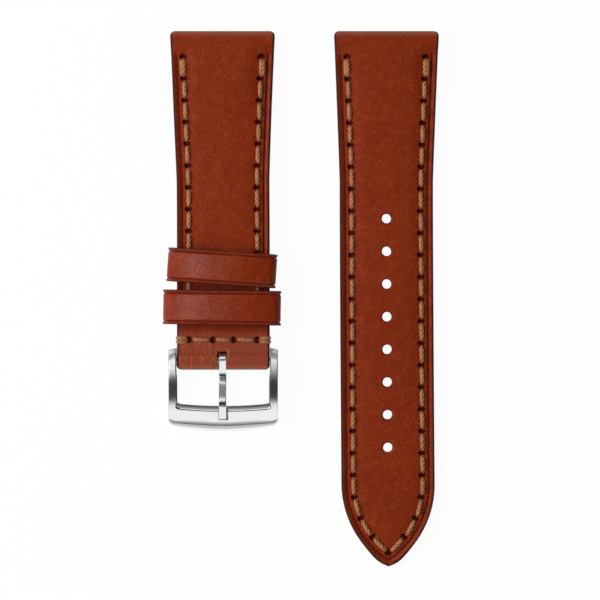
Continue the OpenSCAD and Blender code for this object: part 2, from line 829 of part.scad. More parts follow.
buckle_half_cover();
buckle_half_filler();
buckle_half_lining();
left_seam_thread();
right_seam_thread();
left_seam_under_thread();
right_seam_under_thread();
cross_seam_thread();
cross_seam_under_thread();
fixed_keeper();
free_keeper();
buckle_frame();
buckle_tongue();
spring_bar_barrel();
spring_bar_left_plunger();
spring_bar_right_plunger();
spring_bar_spring();
tail_half_cover();
tail_half_filler();
tail_half_lining();
tail_seam_thread();
tail_seam_under_thread();
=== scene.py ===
import json
import math

import bmesh
import bpy
from mathutils import Matrix, Vector, noise


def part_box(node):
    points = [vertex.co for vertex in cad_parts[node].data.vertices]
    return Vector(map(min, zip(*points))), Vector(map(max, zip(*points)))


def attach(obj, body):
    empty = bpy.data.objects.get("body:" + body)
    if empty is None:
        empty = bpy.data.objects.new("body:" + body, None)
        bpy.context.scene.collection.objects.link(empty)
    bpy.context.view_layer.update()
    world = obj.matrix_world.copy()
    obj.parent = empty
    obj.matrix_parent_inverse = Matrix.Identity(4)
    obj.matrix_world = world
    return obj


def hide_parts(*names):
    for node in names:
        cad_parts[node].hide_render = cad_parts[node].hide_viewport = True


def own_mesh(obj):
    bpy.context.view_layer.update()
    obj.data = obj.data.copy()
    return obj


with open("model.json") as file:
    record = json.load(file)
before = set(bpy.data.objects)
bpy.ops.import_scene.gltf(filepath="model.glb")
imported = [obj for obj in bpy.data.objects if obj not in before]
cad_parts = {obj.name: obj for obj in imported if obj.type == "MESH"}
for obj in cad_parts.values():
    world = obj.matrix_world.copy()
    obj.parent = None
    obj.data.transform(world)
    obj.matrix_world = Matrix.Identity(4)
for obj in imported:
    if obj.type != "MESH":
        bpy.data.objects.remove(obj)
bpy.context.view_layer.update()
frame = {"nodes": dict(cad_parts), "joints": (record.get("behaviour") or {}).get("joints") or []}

mm = 0.001  # pieces are drawn in millimetres and scaled down when they are finished
joints = {joint["name"]: joint for joint in frame["joints"]}
barX, barY, barZ = [value / mm for value in joints["frame_swing"]["pos_m"]]
tailX = joints["tail_swing"]["pos_m"][0] / mm
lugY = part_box("tail_half_cover")[1].y / mm


# Small sums that every piece uses

def clamp(t):
    return min(1.0, max(0.0, t))


def smooth(t):
    t = clamp(t)
    return t * t * (3 - 2 * t)


def mix(a, b, t):
    return a + (b - a) * t


def hill(distance, reach):  # one at no distance, nothing beyond its reach
    return smooth(1 - abs(distance) / reach)


def spaced(start, end, count):
    return [mix(start, end, i / count) for i in range(count)]


def roundOff(radius, t):
    return 0 if t >= radius else radius - math.sqrt(max(0, radius ** 2 - (radius - t) ** 2))


# The leather's sizes, in millimetres

strap = {
    "lugWidth": 22, "taperLength": 31.5, "taperPower": 1.06, "lugCorner": 0.8, "turnCorner": 0.7,
    "cover": 1.0, "lining": 0.8, "filler": 0.5, "glue": 0.05, "lugFiller": 0.5,
    "edgeLift": 0.4, "edgeLiftWide": 4.5,
    "padHeight": 1.2, "padFade": 0.75, "padFrom": 2.7, "padRise": 2.4, "padCrown": 0.76, "padRunout": 7,
    "turnSquare": 0.68,  # under 1, the fold over the spring bar is squarer than a circle
    # a painted highlight on the fold over the spring bar
    "foldSheen": 0.28,
    "lugThickness": 4.2, "tunnelRadius": 0.95, "flapLength": 10, "faceBlend": 3.6, "skinBlend": 2.4,
    "paintWide": 0.42, "paintDeep": 0.5,
    "creaseIn": 1.22, "creaseEnd": 1.46, "creaseDeep": 0.32, "creaseFrom": 4.2, "creaseFade": 1.4,
    "rimHigh": 0.12, "seamIn": 2.55, "seamFirst": 5.45, "stitch": 4.57,
    "stitchHole": 0.71, "holeSlope": 0.24, "holeDeep": 0.85, "trough": 0.14, "troughWide": 0.5,
    "adjustPitch": 6.86, "adjustLast": 25, "adjustCount": 8, "adjustRadius": 1.0,
}
buckleHalf = {
    "x": barX, "width": 19.45, "length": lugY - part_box("buckle_half_cover")[0].y / mm,
    "riseFrom": 0.12, "riseTo": 0.4, "underHeight": 1.3,
    "sway": lambda s: -0.18 * (1 - smooth((s - 12) / 32)),  # it lies a little out of true
}
tailHalf = {
    "x": tailX, "width": 19.6, "tipLength": 17.3, "length": 2 * lugY, "blunt": 0.75, "bluntReach": 1.35,
    "sway": lambda s: -0.2 + 0.5 * clamp((s - 36) / 76) ** 1.3,
}

stackHeight = strap["cover"] + strap["lining"] + strap["filler"] + 2 * strap["glue"]
rollRadius = strap["lugThickness"] / 2
turnThickness = (stackHeight - strap["glue"]) / 2  # of each layer of the fold over the spring bar
turnBore = 0.95
turnRadius = turnBore - strap["glue"] + turnThickness
barAlong = buckleHalf["length"] - turnRadius
crossAlong = buckleHalf["length"] - 6.3
fixedAlong = buckleHalf["length"] - 13
fillerEnd = fixedAlong - 4
liningEnd = fixedAlong + 4.3
seamEnd = liningEnd - 1
crossHoles = [-7.05, -2.15, 2.25, 7.15]
slotAside = -0.2  # the slot lies a little left of the middle
slotBehind = 1.75

tipStart = tailHalf["length"] - tailHalf["tipLength"]
tipRadius = (tailHalf["tipLength"] ** 2 + tailHalf["width"] ** 2 / 4) / tailHalf["width"]
tipBack = tipRadius - tailHalf["width"] / 2
seamTipRadius = tipRadius - strap["seamIn"]
seamTipLength = seamTipRadius * math.acos(tipBack / seamTipRadius)

buckleHalf["gaps"] = math.floor((seamEnd - strap["seamFirst"]) / strap["stitch"])
buckleHalf["pitch"] = strap["stitch"]
tailHalf["gaps"] = round((tipStart + seamTipLength - strap["seamFirst"]) / strap["stitch"])
tailHalf["pitch"] = (tipStart + seamTipLength - strap["seamFirst"]) / tailHalf["gaps"]
for half in (buckleHalf, tailHalf):
    half["last"] = strap["seamFirst"] + half["gaps"] * half["pitch"]
adjustFirst = tailHalf["length"] - strap["adjustLast"]
adjustPlaces = [adjustFirst - i * strap["adjustPitch"] for i in range(strap["adjustCount"])]


# The outline of each half, with s the distance from its lug end

def halfWidth(half, s):
    narrowing = max(0, 1 - s / strap["taperLength"]) ** strap["taperPower"]
    width = mix(half["width"], strap["lugWidth"], narrowing)
    corners = roundOff(strap["lugCorner"], s)
    if half is buckleHalf:
        corners += roundOff(strap["turnCorner"], half["length"] - s)
    return width / 2 - corners


def inTip(half, s):
    return half is tailHalf and s > tipStart


def fromEdge(half, x, s):
    if inTip(half, s):
        return max(0, tipRadius - math.hypot(abs(x) + tipBack, s - tipStart))
    return max(0, halfWidth(half, s) - abs(x))


def alongSeam(half, x, s):
    if inTip(half, s):
        return tipStart + seamTipRadius * math.atan2(s - tipStart, abs(x) + tipBack)
    return s


# Heights of the layers' surfaces

def underside(half, s):
    if half is tailHalf:
        return 0
    rise = (s / half["length"] - half["riseFrom"]) / (half["riseTo"] - half["riseFrom"])
    return half["underHeight"] * smooth(rise)


def lifted(half, x, s):
    flat = smooth(fromEdge(half, x, s) / strap["edgeLiftWide"])
    return underside(half, s) + strap["edgeLift"] * (1 - flat)


def flatTop(half, x, s):
    far = half["length"] if half is tailHalf else fillerEnd
    pad = strap["padHeight"] * (1 - strap["padFade"] * min(1, s / far))
    if half is buckleHalf:
        pad *= 1 - smooth((s - far + strap["padRunout"]) / strap["padRunout"])
    body = underside(half, s) + stackHeight + strap["lugFiller"] * (1 - smooth(s / strap["taperLength"]))
    inset, middle = fromEdge(half, x, s), half["width"] / 2
    body += pad * (1 - strap["padCrown"]) * smooth((inset - strap["padFrom"]) / strap["padRise"])
    body += pad * strap["padCrown"] * (1 - (1 - min(1, inset / middle)) ** 2)
    return mix(strap["lugThickness"], body, smooth((s - rollRadius) / strap["faceBlend"]))


def underTop(half, s):
    lugSkin = rollRadius - strap["tunnelRadius"] + strap["glue"]
    return underside(half, s) + mix(lugSkin, strap["lining"], smooth((s - rollRadius) / strap["skinBlend"]))


def coverLow(half, x, s):
    lugSkin = rollRadius + strap["tunnelRadius"] - strap["glue"]
    return mix(lugSkin, flatTop(half, x, s) - strap["cover"], smooth((s - rollRadius) / strap["skinBlend"]))


# What the maker's tools leave in the surface, as depths and as painted shade in holes, troughs and creases

def paintDrop(inset, wide, deep):
    if inset >= wide:
        return 0
    return deep * (1 - math.sqrt(max(0, 1 - (1 - inset / wide) ** 2)))


def seamMarks(half, x, s):
    along, across = alongSeam(half, x, s), fromEdge(half, x, s) - strap["seamIn"]
    first, pitch = strap["seamFirst"], half["pitch"]
    nearest = first + pitch * min(half["gaps"], max(0, round((along - first) / pitch)))
    hole = pricked(math.hypot((along - nearest) * 1.15, across * 0.97))
    within = smooth((along - first) / 0.4) * smooth((half["last"] - along) / 0.4)
    return hole, within * math.exp(-(across / strap["troughWide"]) ** 2)


def pricked(reach):
    return smooth((strap["stitchHole"] - reach) / strap["holeSlope"])


def sewnDepth(hole, trough, share=1.0):
    return strap["holeDeep"] * share * hole + strap["trough"] * trough * (1 - hole)


def crossMarks(x, s):
    hole = pricked(min(math.hypot(x - hole, s - crossAlong) for hole in crossHoles))
    return hole, math.exp(-((s - crossAlong) / strap["troughWide"]) ** 2)


def creaseMark(half, x, s):
    inset = fromEdge(half, x, s)
    creaseIn, creaseDeep, paintWide = strap["creaseIn"], strap["creaseDeep"], strap["paintWide"]
    if inset < creaseIn:
        depth = mix(-strap["rimHigh"], creaseDeep, clamp((inset - paintWide) / (creaseIn - paintWide)))
    else:
        depth = creaseDeep * (1 - smooth((inset - creaseIn) / (strap["creaseEnd"] - creaseIn)))
    start = smooth((s - strap["creaseFrom"]) / strap["creaseFade"])
    end = 1 if half is tailHalf else smooth((seamEnd - s) / 1.5)
    # the second value is painted shade in the crease
    return depth * start * end, hill(inset - creaseIn, 0.3) * start * end


def faceMarks(half, x, s):
    hole, trough = seamMarks(half, x, s)
    if half is buckleHalf:
        crossHole, crossTrough = crossMarks(x, s)
        hole, trough = max(hole, crossHole), max(trough, crossTrough)
    creased, grooveShade = creaseMark(half, x, s)
    depth = sewnDepth(hole, trough) + creased
    depth += 0.03 * noise.noise(Vector((x * 0.35, s * 0.22, half["x"])))
    # painted shade in the stitch holes, the crease and the thread's trough
    return depth, max(hole, 0.7 * grooveShade, 0.3 * trough)


def lowMarks(half, x, s):
    hole, trough = seamMarks(half, x, s)
    # painted shade in the stitch holes
    return sewnDepth(hole, trough, 0.7), hole


def tailHoleRim(x, s):
    reach = min(math.hypot(x, s - place) for place in adjustPlaces)
    return smooth(1 - (reach - strap["adjustRadius"]) / 0.3)


# Rows follow one another along the leather's path, columns from its left edge to its right

def stitchRows(half):
    near = [0, 0.03, 0.06, 0.085, 0.11, 0.137, 0.2, 0.3, 0.4]
    shares = near + [0.5] + [1 - share for share in reversed(near[1:])]
    first, last, pitch = strap["seamFirst"], half["last"], half["pitch"]
    places = [first + (gap + share) * pitch for gap in range(half["gaps"]) for share in shares]
    before = [first - share * pitch for share in reversed(near[1:6])]
    after = [last + share * pitch for share in near[:7]]
    return before + places + (after if half is buckleHalf else [last])


def snapped(rows):
    for place in adjustPlaces:
        for target in (place - strap["adjustRadius"], place, place + strap["adjustRadius"]):
            nearest = min(range(len(rows)), key=lambda k: abs(rows[k] - target))
            rows[nearest] = target
    return rows


def faceRows(half):
    rows = [s for s in stitchRows(half) if s > rollRadius + 2.2]
    rows = spaced(rollRadius + 0.35, rows[0], 7) + rows
    if half is tailHalf:
        straight = snapped([s for s in rows if s < tipStart - 0.05] + [tipStart])
        tip = [(s - tipStart) / seamTipLength for s in rows if s > tipStart + 0.05]
        return [("face", s) for s in straight] + [("tip", share) for share in tip]
    cross = [crossAlong - offset for offset in (1.4, 0.75, 0.55, 0.4, 0.28, 0.16)]
    cross += [crossAlong + offset for offset in (0, 0.16, 0.28, 0.4, 0.55, 0.75, 1.2)]
    rows = [s for s in rows if s < liningEnd - 0.4] + [liningEnd] + cross
    return [("face", s) for s in rows]


def slotRows():
    slotEnd = barAlong - slotBehind
    before = [slotEnd - step for step in (0.8, 0.55, 0.35, 0.15, 0.06, 0)]
    return before + spaced(slotEnd + 0.28, barAlong, 6)


def bendRows(name, start, end, count):
    return [(name, mix(start, end, i / count)) for i in range(count + 1)]


def acrossColumns(inner):
    edgeWide = 5.8  # the outer columns follow the outline this far in
    arc = [strap["paintWide"] * (1 - math.cos(math.radians(angle))) for angle in (0, 20, 40, 60, 76)]
    insets = arc + spaced(0.42, 0.8, 2) + spaced(0.8, 1.4, 6) + spaced(1.4, 2.0, 2)
    insets += spaced(2.0, 3.1, 9) + spaced(3.1, edgeWide, 7)
    side = [(inset, 1.0) for inset in insets] + [(edgeWide, share) for share in inner]
    left, right = [(-1, *place) for place in side], [(1, *place) for place in reversed(side)]
    return left + [(1, edgeWide, 0.0)] + right


def planPoint(half, row, column):
    side, inset, share = column
    kind, s = row
    if kind == "tip":
        radius = tipRadius - inset
        angle = s * math.acos(tipBack / radius)
        return side * share * max(0, radius * math.cos(angle) - tipBack), tipStart + radius * math.sin(angle)
    if kind == "roll":
        s = rollRadius + rollRadius * math.cos(math.radians(s))
    if kind == "bend":
        s = barAlong + turnRadius * math.cos(math.radians(s))
    x = side * share * (halfWidth(half, s) - inset)
    if half is buckleHalf and kind in ("turn", "bend", "back"):
        x += slotAside * (1 - smooth((abs(x) - 1.2) / 2.4)) * smooth((s - barAlong + 3.4) / 1.2)
    if half is tailHalf and kind == "face":
        return roundHoles(x, s)
    return x, s


def roundHoles(x, s):
    place = min(adjustPlaces, key=lambda p: abs(p - s))
    radius = strap["adjustRadius"]
    across, along = x / radius, (s - place) / radius
    square = max(abs(across), abs(along))
    if square >= 2.3 or square < 0.99:
        return x, s
    pull = square / math.hypot(across, along)
    weight = 1 - smooth((square - 1) / 1.3)
    return x * mix(1, pull, weight), place + (s - place) * mix(1, pull, weight)


def inTailHole(places):
    if any(row[0] != "face" for row, column in places):
        return False
    reach = 1.02 * strap["adjustRadius"]
    points = []
    for (kind, s), (side, inset, share) in places:
        points.append((side * share * (halfWidth(tailHalf, s) - inset), s))
    return any(all(abs(x) < reach and abs(s - place) < reach for x, s in points) for place in adjustPlaces)


def spot(half, x, s, z):
    if half is tailHalf:  # the very tip is blunter than its two arcs
        left = max(0, half["length"] - s) / half["bluntReach"]
        x *= 1 + half["blunt"] * math.exp(-left ** 1.2)
    return Vector((half["x"] + half["sway"](s) + x, lugY - s, z))


# Turns a grid of rows and columns into a closed layer with an outer and an inner skin

def layer(name, rows, columns, plan, skin, marks, cut=None):
    mesh = bmesh.new()
    bmesh.ops.create_grid(mesh, x_segments=len(columns) - 1, y_segments=len(rows) - 1, size=0.5)
    columnOf = mesh.verts.layers.int.new("column")
    rowOf = mesh.verts.layers.int.new("row")
    paintOf = mesh.verts.layers.float.new("paint")
    # painted shade above nothing, painted highlight below nothing
    shadeAndSheenOf = mesh.verts.layers.float.new("shadeAndSheen")
    for vert in mesh.verts:
        vert[columnOf] = round((vert.co.x + 0.5) * (len(columns) - 1))
        vert[rowOf] = round((vert.co.y + 0.5) * (len(rows) - 1))
    if cut:
        gone = []
        for face in mesh.faces:
            if cut([(rows[vert[rowOf]], columns[vert[columnOf]]) for vert in face.verts]):
                gone.append(face)
        bmesh.ops.delete(mesh, geom=gone, context="FACES")
    for vert in mesh.verts:
        row, column = rows[vert[rowOf]], columns[vert[columnOf]]
        place = plan(row, column)
        vert.co = skin(row, *place, False)
        vert[paintOf], vert[shadeAndSheenOf] = marks(row, column, *place)
    bmesh.ops.remove_doubles(mesh, verts=mesh.verts, dist=0.0005)
    made = bmesh.ops.extrude_face_region(mesh, geom=mesh.faces[:], use_keep_orig=True)
    for vert in made["geom"]:
        if isinstance(vert, bmesh.types.BMVert):
            row, column = rows[vert[rowOf]], columns[vert[columnOf]]
            vert.co = skin(row, *plan(row, column), True)
    bmesh.ops.recalc_face_normals(mesh, faces=mesh.faces)
    return finishedPiece(name, mesh)


def closeTube(mesh, near):
    bmesh.ops.remove_doubles(mesh, verts=mesh.verts, dist=near)
    bmesh.ops.holes_fill(mesh, edges=[edge for edge in mesh.edges if edge.is_boundary], sides=0)
    bmesh.ops.recalc_face_normals(mesh, faces=mesh.faces)


def travelledAlong(points):
    travelled = [0.0]
    for a, b in zip(points, points[1:]):
        travelled.append(travelled[-1] + (b - a).length)
    return travelled


def finishedPiece(name, mesh, sharp=38):
    bmesh.ops.scale(mesh, vec=(mm, mm, mm), verts=mesh.verts)
    data = bpy.data.meshes.new(name)
    mesh.to_mesh(data)
    mesh.free()
    data.shade_smooth()
    data.set_sharp_from_angle(angle=math.radians(sharp))
    piece = bpy.data.objects.new(name, data)
    bpy.context.scene.collection.objects.link(piece)
    return piece


def settle(piece, material, body, slot, *nodes):
    piece.data.materials.clear()
    piece.data.materials.append(material)
    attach(piece, body)
    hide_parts(*nodes)
    print("made", piece.name, len(piece.data.polygons), "faces")


# Cover leather: rolled round the watch's bar, over the face, and on the buckle half round the spring bar

def coverSkin(half):
    def place(row, x, s, inner):
        kind, value = row
        inset = fromEdge(half, x, min(s, half["length"] - 0.01))
        drop = paintDrop(inset, strap["paintWide"], strap["paintDeep"])
        if kind in ("face", "tip"):
            if half is buckleHalf and s >= liningEnd + 0.01:
                return turnPlace(x, s, 1, inner, drop)
            if inner:
                return spot(half, x, s, coverLow(half, x, s))
            depth = faceMarks(half, x, s)[0]
            if half is tailHalf:
                depth += 0.16 * tailHoleRim(x, s)
            return spot(half, x, s, flatTop(half, x, s) - depth - drop)
        if kind == "flap":
            if inner:
                return spot(half, x, s, underTop(half, s))
            return spot(half, x, s, lifted(half, x, s) + lowMarks(half, x, s)[0] + drop * 0.7)
        if kind == "roll":
            radius, angle = strap["tunnelRadius"] if inner else rollRadius - drop * 0.8, math.radians(value)
            along, up = radius * math.cos(angle), radius * math.sin(angle)
            return spot(half, x, rollRadius + along, rollRadius + up)
        if kind == "bend":
            angle = math.radians(value)
            ahead, up = turnBore * math.cos(angle), turnBore * math.sin(angle)
            if not inner:
                radius = turnRadius - drop * 0.8
                ahead = radius * max(0, math.cos(angle)) ** strap["turnSquare"]
                up = math.copysign(radius * abs(math.sin(angle)) ** strap["turnSquare"], math.sin(angle))
            return spot(half, x, barAlong + ahead, barZ + up)
        return turnPlace(x, s, 1 if kind == "turn" else -1, inner, drop)
    return place


def turnPlace(x, s, way, inner, drop):
    parted = mix(strap["glue"] / 2, turnBore, smooth((s - barAlong) / turnRadius + 1))
    if inner:
        return spot(buckleHalf, x, s, barZ + way * parted)
    hole, trough = crossMarks(x, s)
    depth = sewnDepth(hole, trough) + slotRim(x, s)[0]
    depth += 0.02 * noise.noise(Vector((x * 0.4, s * 0.5, way)))
    return spot(buckleHalf, x, s, barZ + way * (parted + turnThickness - depth - drop))


def slotRim(x, s):
    across, behind = abs(x - slotAside) - 0.95, barAlong - slotBehind - s
    outside = max(across, behind) if min(across, behind) < 0 else math.hypot(across, behind)
    # the slot's rim gets a painted highlight, stronger on its right
    litSheen = (0.5 + 0.3 * smooth(x)) * hill(outside - 0.36, 0.5)
    return 0.14 * smooth(1 - outside / 0.16) - 0.07 * hill(outside - 0.45, 0.4), litSheen


# The edge paint, and the painted shade and light: above nothing it paints shade into holes, troughs, creases
# and rims turned from the light, below nothing it paints a lighter sheen where the surface catches the light
def coverMarks(half):
    faceEnd = liningEnd if half is buckleHalf else half["length"] + 1

    def marks(row, column, x, s):
        kind, value = row
        inset = fromEdge(half, x, min(s, half["length"] - 0.01))
        painted = 1 - smooth((inset - 0.3) / 0.16)
        if kind in ("face", "tip") and s < faceEnd:
            # rims left of the middle are painted darker (painted shade), rims right of it lighter (painted
            # highlight)
            rim = hill(inset - 0.85, 0.45) * smooth((s - strap["creaseFrom"]) / strap["creaseFade"])
            shadeAndSheen = faceMarks(half, x, s)[1]
            shadeAndSheen = max(shadeAndSheen, 0.3 * rim) if x < 0 else shadeAndSheen - 0.22 * rim
            # painted shade round the tail's adjustment holes
            if half is tailHalf:
                shadeAndSheen = max(shadeAndSheen, 0.5 * tailHoleRim(x, s))
            return painted, shadeAndSheen
        if kind == "flap":
            return painted, lowMarks(half, x, s)[1]
        # painted highlight on the fold, the slot's rim, the fold's rounded end and the top of the lug's roll
        if kind == "turn":
            litSheen = strap["foldSheen"] + 0.12 * smooth((s - barAlong + 1.8) / 1.8)
            return painted, crossMarks(x, s)[0] - max(slotRim(x, s)[1], litSheen)
        if kind in ("face", "back"):
            return painted, crossMarks(x, s)[0] - strap["foldSheen"] * smooth((s - liningEnd) / 1.5)
        if kind == "bend":
            return painted, -0.3 - 0.7 * hill(value - 38, 34)
        return painted, -0.45 * hill(value - 145, 50)
    return marks


def inSlot(places):
    if any(row[0] in ("flap", "roll") for row, column in places):
        return False
    hidden = any(row[0] == "back" or (row[0] == "bend" and row[1] < -20) for row, column in places)
    wide, reach = (0.77, 1.48) if hidden else (0.93, 1.76)  # the unseen layer fits the tongue closer
    foldHalf = 9.6  # half the leather's width there
    across = all(abs(share * (foldHalf - inset)) < wide for row, (side, inset, share) in places)
    return across and all(row[0] == "bend" or row[1] > barAlong - reach for row, column in places)


def makeCover(half, name, rows, columns, cut, leather):
    under = [s for s in stitchRows(half) if 2.6 < s < strap["flapLength"]] + [strap["flapLength"]]
    lugEnd = [("flap", s) for s in reversed(under)] + bendRows("roll", 270, 90, 16)
    cover = layer(
        f"{name}HalfCover", lugEnd + rows, columns, lambda row, column: planPoint(half, row, column),
        coverSkin(half), coverMarks(half), cut,
    )
    settle(cover, leather, f"{name}_half", "strap_leather", f"{name}_half_cover")


def makeCovers(leather):
    byTrough = (3.4, 3.0, 2.78, 2.62, 2.48, 2.36, 2.24, 2.12, 2.0)
    columns = acrossColumns([x / 3.8 for x in byTrough + (1.85, 1.65, 1.42, 1.25, 1.07, 0.92, 0.76, 0.4)])
    fold = [("turn", s) for s in slotRows()[:-1]] + bendRows("bend", 90, -90, 14)
    under = [liningEnd + strap["glue"]] + [s for kind, s in faceRows(buckleHalf) if s > liningEnd + 0.2]
    fold += [("back", s) for s in reversed(under + slotRows()[:-1])]
    makeCover(buckleHalf, "buckle", faceRows(buckleHalf) + fold, columns, inSlot, leather)
    middle = (3.5, 3.0, 2.6, 2.25, 2.0, 1.75, 1.5, 1.25, 1.12, 1.0, 0.75, 0.5, 0.25)
    columns = acrossColumns([x / 4 for x in middle])
    makeCover(tailHalf, "tail", faceRows(tailHalf), columns, inTailHole, leather)


# Lining and filler

def makeInnerLayers(half, name, leather, board):
    columns = acrossColumns([x / 4 for x in (3.3, 2.6, 2.0, 1.75, 1.5, 1.25, 1.12, 1.0, 0.6, 0.3)])
    coarse = [column for column in columns if column[2] < 1 or column[1] in (0, 2.0, 3.1) or column[1] > 3.4]
    cut = inTailHole if half is tailHalf else None
    flapEnd = strap["flapLength"] + strap["glue"]

    def plan(row, column):
        return planPoint(half, row, column)

    def rowsFrom(start, end, clear, step=1):
        rows = [row for row in faceRows(half)[::step] if row[0] == "tip" or row[1] > start]
        if half is tailHalf:
            return rows
        return [row for row in rows if row[1] < end - clear] + [("face", end)]

    def liningSkin(row, x, s, inner):
        if inner:
            return spot(half, x, s, underTop(half, s))
        depth = lowMarks(half, x, s)[0] + paintDrop(fromEdge(half, x, s), 0.3, 0.35)
        if half is tailHalf:
            depth += 0.12 * tailHoleRim(x, s)
        return spot(half, x, s, lifted(half, x, s) + depth)

    def liningMarks(row, column, x, s):
        return 1 - smooth((fromEdge(half, x, s) - 0.2) / 0.12), lowMarks(half, x, s)[1]

    def fillerSkin(row, x, s, inner):
        z = coverLow(half, x, s) - strap["glue"] if inner else underTop(half, s) + strap["glue"]
        return spot(half, x, s, z)

    def fillerMarks(row, column, x, s):
        return 1 - smooth((fromEdge(half, x, s) - 0.1) / 0.1), 0

    rows = [("face", flapEnd)] + rowsFrom(flapEnd + 0.1, liningEnd, 0.1)
    lining = layer(f"{name}HalfLining", rows, columns, plan, liningSkin, liningMarks, cut)
    settle(lining, leather, f"{name}_half", "lining_leather", f"{name}_half_lining")
    rows = rowsFrom(2 * rollRadius - 0.9, fillerEnd, 0.2, 2 if half is buckleHalf else 1)
    filler = layer(f"{name}HalfFiller", rows, coarse, plan, fillerSkin, fillerMarks, cut)
    settle(filler, board, f"{name}_half", "filler", f"{name}_half_filler")


# Twisted thread, swept along a path of (point, side, thickness)

thread = {"radius": 0.5, "lay": 2.9, "ply": 0.62, "ring": 0.15, "around": 18, "plies": 3}


def plyOutline(angle):
    offset, radius = 1 - thread["ply"], thread["ply"]
    third = 2 * math.pi / thread["plies"]
    local = (angle + third / 2) % third - third / 2
    return offset * math.cos(local) + math.sqrt(max(0, radius ** 2 - (offset * math.sin(local)) ** 2))


def throughPoints(keys, step):
    rings = []
    for i in range(len(keys) - 1):
        before, a, b, after = keys[max(0, i - 1)], keys[i], keys[i + 1], keys[min(len(keys) - 1, i + 2)]
        count = max(1, round((b[0] - a[0]).length / step))
        for k in range(count):
            t = k / count
            values = []
            for p0, p1, p2, p3 in zip(before, a, b, after):
                square, cube = 2 * p0 - 5 * p1 + 4 * p2 - p3, 3 * p1 - p0 - 3 * p2 + p3
                values.append(0.5 * (2 * p1 + (p2 - p0) * t + square * t * t + cube * t ** 3))
            rings.append(values)
    rings.append(list(keys[-1]))
    return rings


def addThread(mesh, keys, radius, phase=0.0):
    rings = throughPoints(keys, thread["ring"])
    around, lay = thread["around"], thread["lay"]
    piece = bmesh.new()
    bmesh.ops.create_grid(piece, x_segments=around, y_segments=len(rings) - 1, size=0.5)
    uvOf = piece.loops.layers.uv.new("UVMap")
    sunkShadeOf = piece.verts.layers.float.new("sunkShade")
    travelled = travelledAlong([ring[0] for ring in rings])
    for face in piece.faces:
        for loop in face.loops:
            j = round((loop.vert.co.y + 0.5) * (len(rings) - 1))
            loop[uvOf].uv = (travelled[j], (loop.vert.co.x + 0.5))
    for vert in piece.verts:
        i, j = round((vert.co.x + 0.5) * around), round((vert.co.y + 0.5) * (len(rings) - 1))
        point, side, thick = rings[j]
        # the thread is painted dark where it sinks into a hole: painted shade
        vert[sunkShadeOf] = smooth((0.78 - thick) / 0.22)
        ahead = (rings[min(len(rings) - 1, j + 1)][0] - rings[max(0, j - 1)][0]).normalized()
        side = (side - ahead * side.dot(ahead)).normalized()
        up = ahead.cross(side)
        angle = 2 * math.pi * (i % around) / around
        turned = angle + 2 * math.pi * travelled[j] / lay + phase
        reach = radius * thick * plyOutline(angle)
        vert.co = point + side * reach * math.cos(turned) + up * reach * math.sin(turned)
    closeTube(piece, 0.0002)
    part = bpy.data.meshes.new("part")
    piece.to_mesh(part)
    piece.free()
    mesh.from_mesh(part)
    bpy.data.meshes.remove(part)


def seamSpot(half, sign, along):
    if inTip(half, along):
        angle = (along - tipStart) / seamTipRadius
        x, s = seamTipRadius * math.cos(angle) - tipBack, tipStart + seamTipRadius * math.sin(angle)
        return sign * x, s, Vector((sign * math.cos(angle), -math.sin(angle), 0))
    return sign * (halfWidth(half, along) - strap["seamIn"]), along, Vector((sign, 0, 0))


# A stitch rises out of one hole and sinks into the next; its keys are (along, height, thickness)
def risenKeys(profile, length, high, thick):
    return profile + [(length / 2, high, thick)] + [(length - a, z, w) for a, z, w in reversed(profile)]


def stitchKeys(half, sign, gap, below):
    pitch = half["pitch"]
    start = strap["seamFirst"] + gap * pitch
    profile = [(0.28, -1.4, 0.45), (0.58, -0.85, 0.6), (0.79, -0.3, 0.8), (1.1, 0.04, 0.95), (1.5, 0.19, 1)]
    keys = []
    for part, high, thick in risenKeys(profile, pitch, 0.23, 1.02):
        x, s, side = seamSpot(half, sign, start + part)
        lean = 0.1 * (part / pitch - 0.5)
        surface = underside(half, s) + strap["edgeLift"] * 0.42 if below else flatTop(half, x, s)
        z = surface - high * 0.5 + 0.26 if below else surface + high - 0.02
        keys.append((spot(half, x, s, z) + side * lean, side, thick))
    return keys


def makeSeams(waxed):
    for half, name in ((buckleHalf, "buckle"), (tailHalf, "tail")):
        sides = ("left", "right") if half is buckleHalf else ("tail", "tail")
        for below in (False, True):
            built = {side: bmesh.new() for side in sides}
            for sign, side in zip((-1, 1), sides):
                keys = []
                for gap in range(half["gaps"]):
                    keys += stitchKeys(half, sign, gap, below)[1 if gap else 0:]
                addThread(built[side], keys, thread["radius"] * (0.82 if below else 1), phase=sign)
                if not below:  # a second thread lies beside the first stitch
                    doubled = []
                    for point, away, thick in stitchKeys(half, sign, 0, False):
                        beside = away * 0.42 * (1 if thick > 0.7 else 0.4) + Vector((0, 0, -0.04))
                        doubled.append((point + beside, away, thick))
                    addThread(built[side], doubled, thread["radius"] * 0.9, phase=1.0)
            for side, mesh in built.items():
                seam = finishedPiece(side + ("SeamUnderThread" if below else "SeamThread"), mesh, sharp=70)
                node = f"{side}_seam_under_thread" if below else f"{side}_seam_thread"
                settle(seam, waxed, f"{name}_half", "sewing_thread", node)


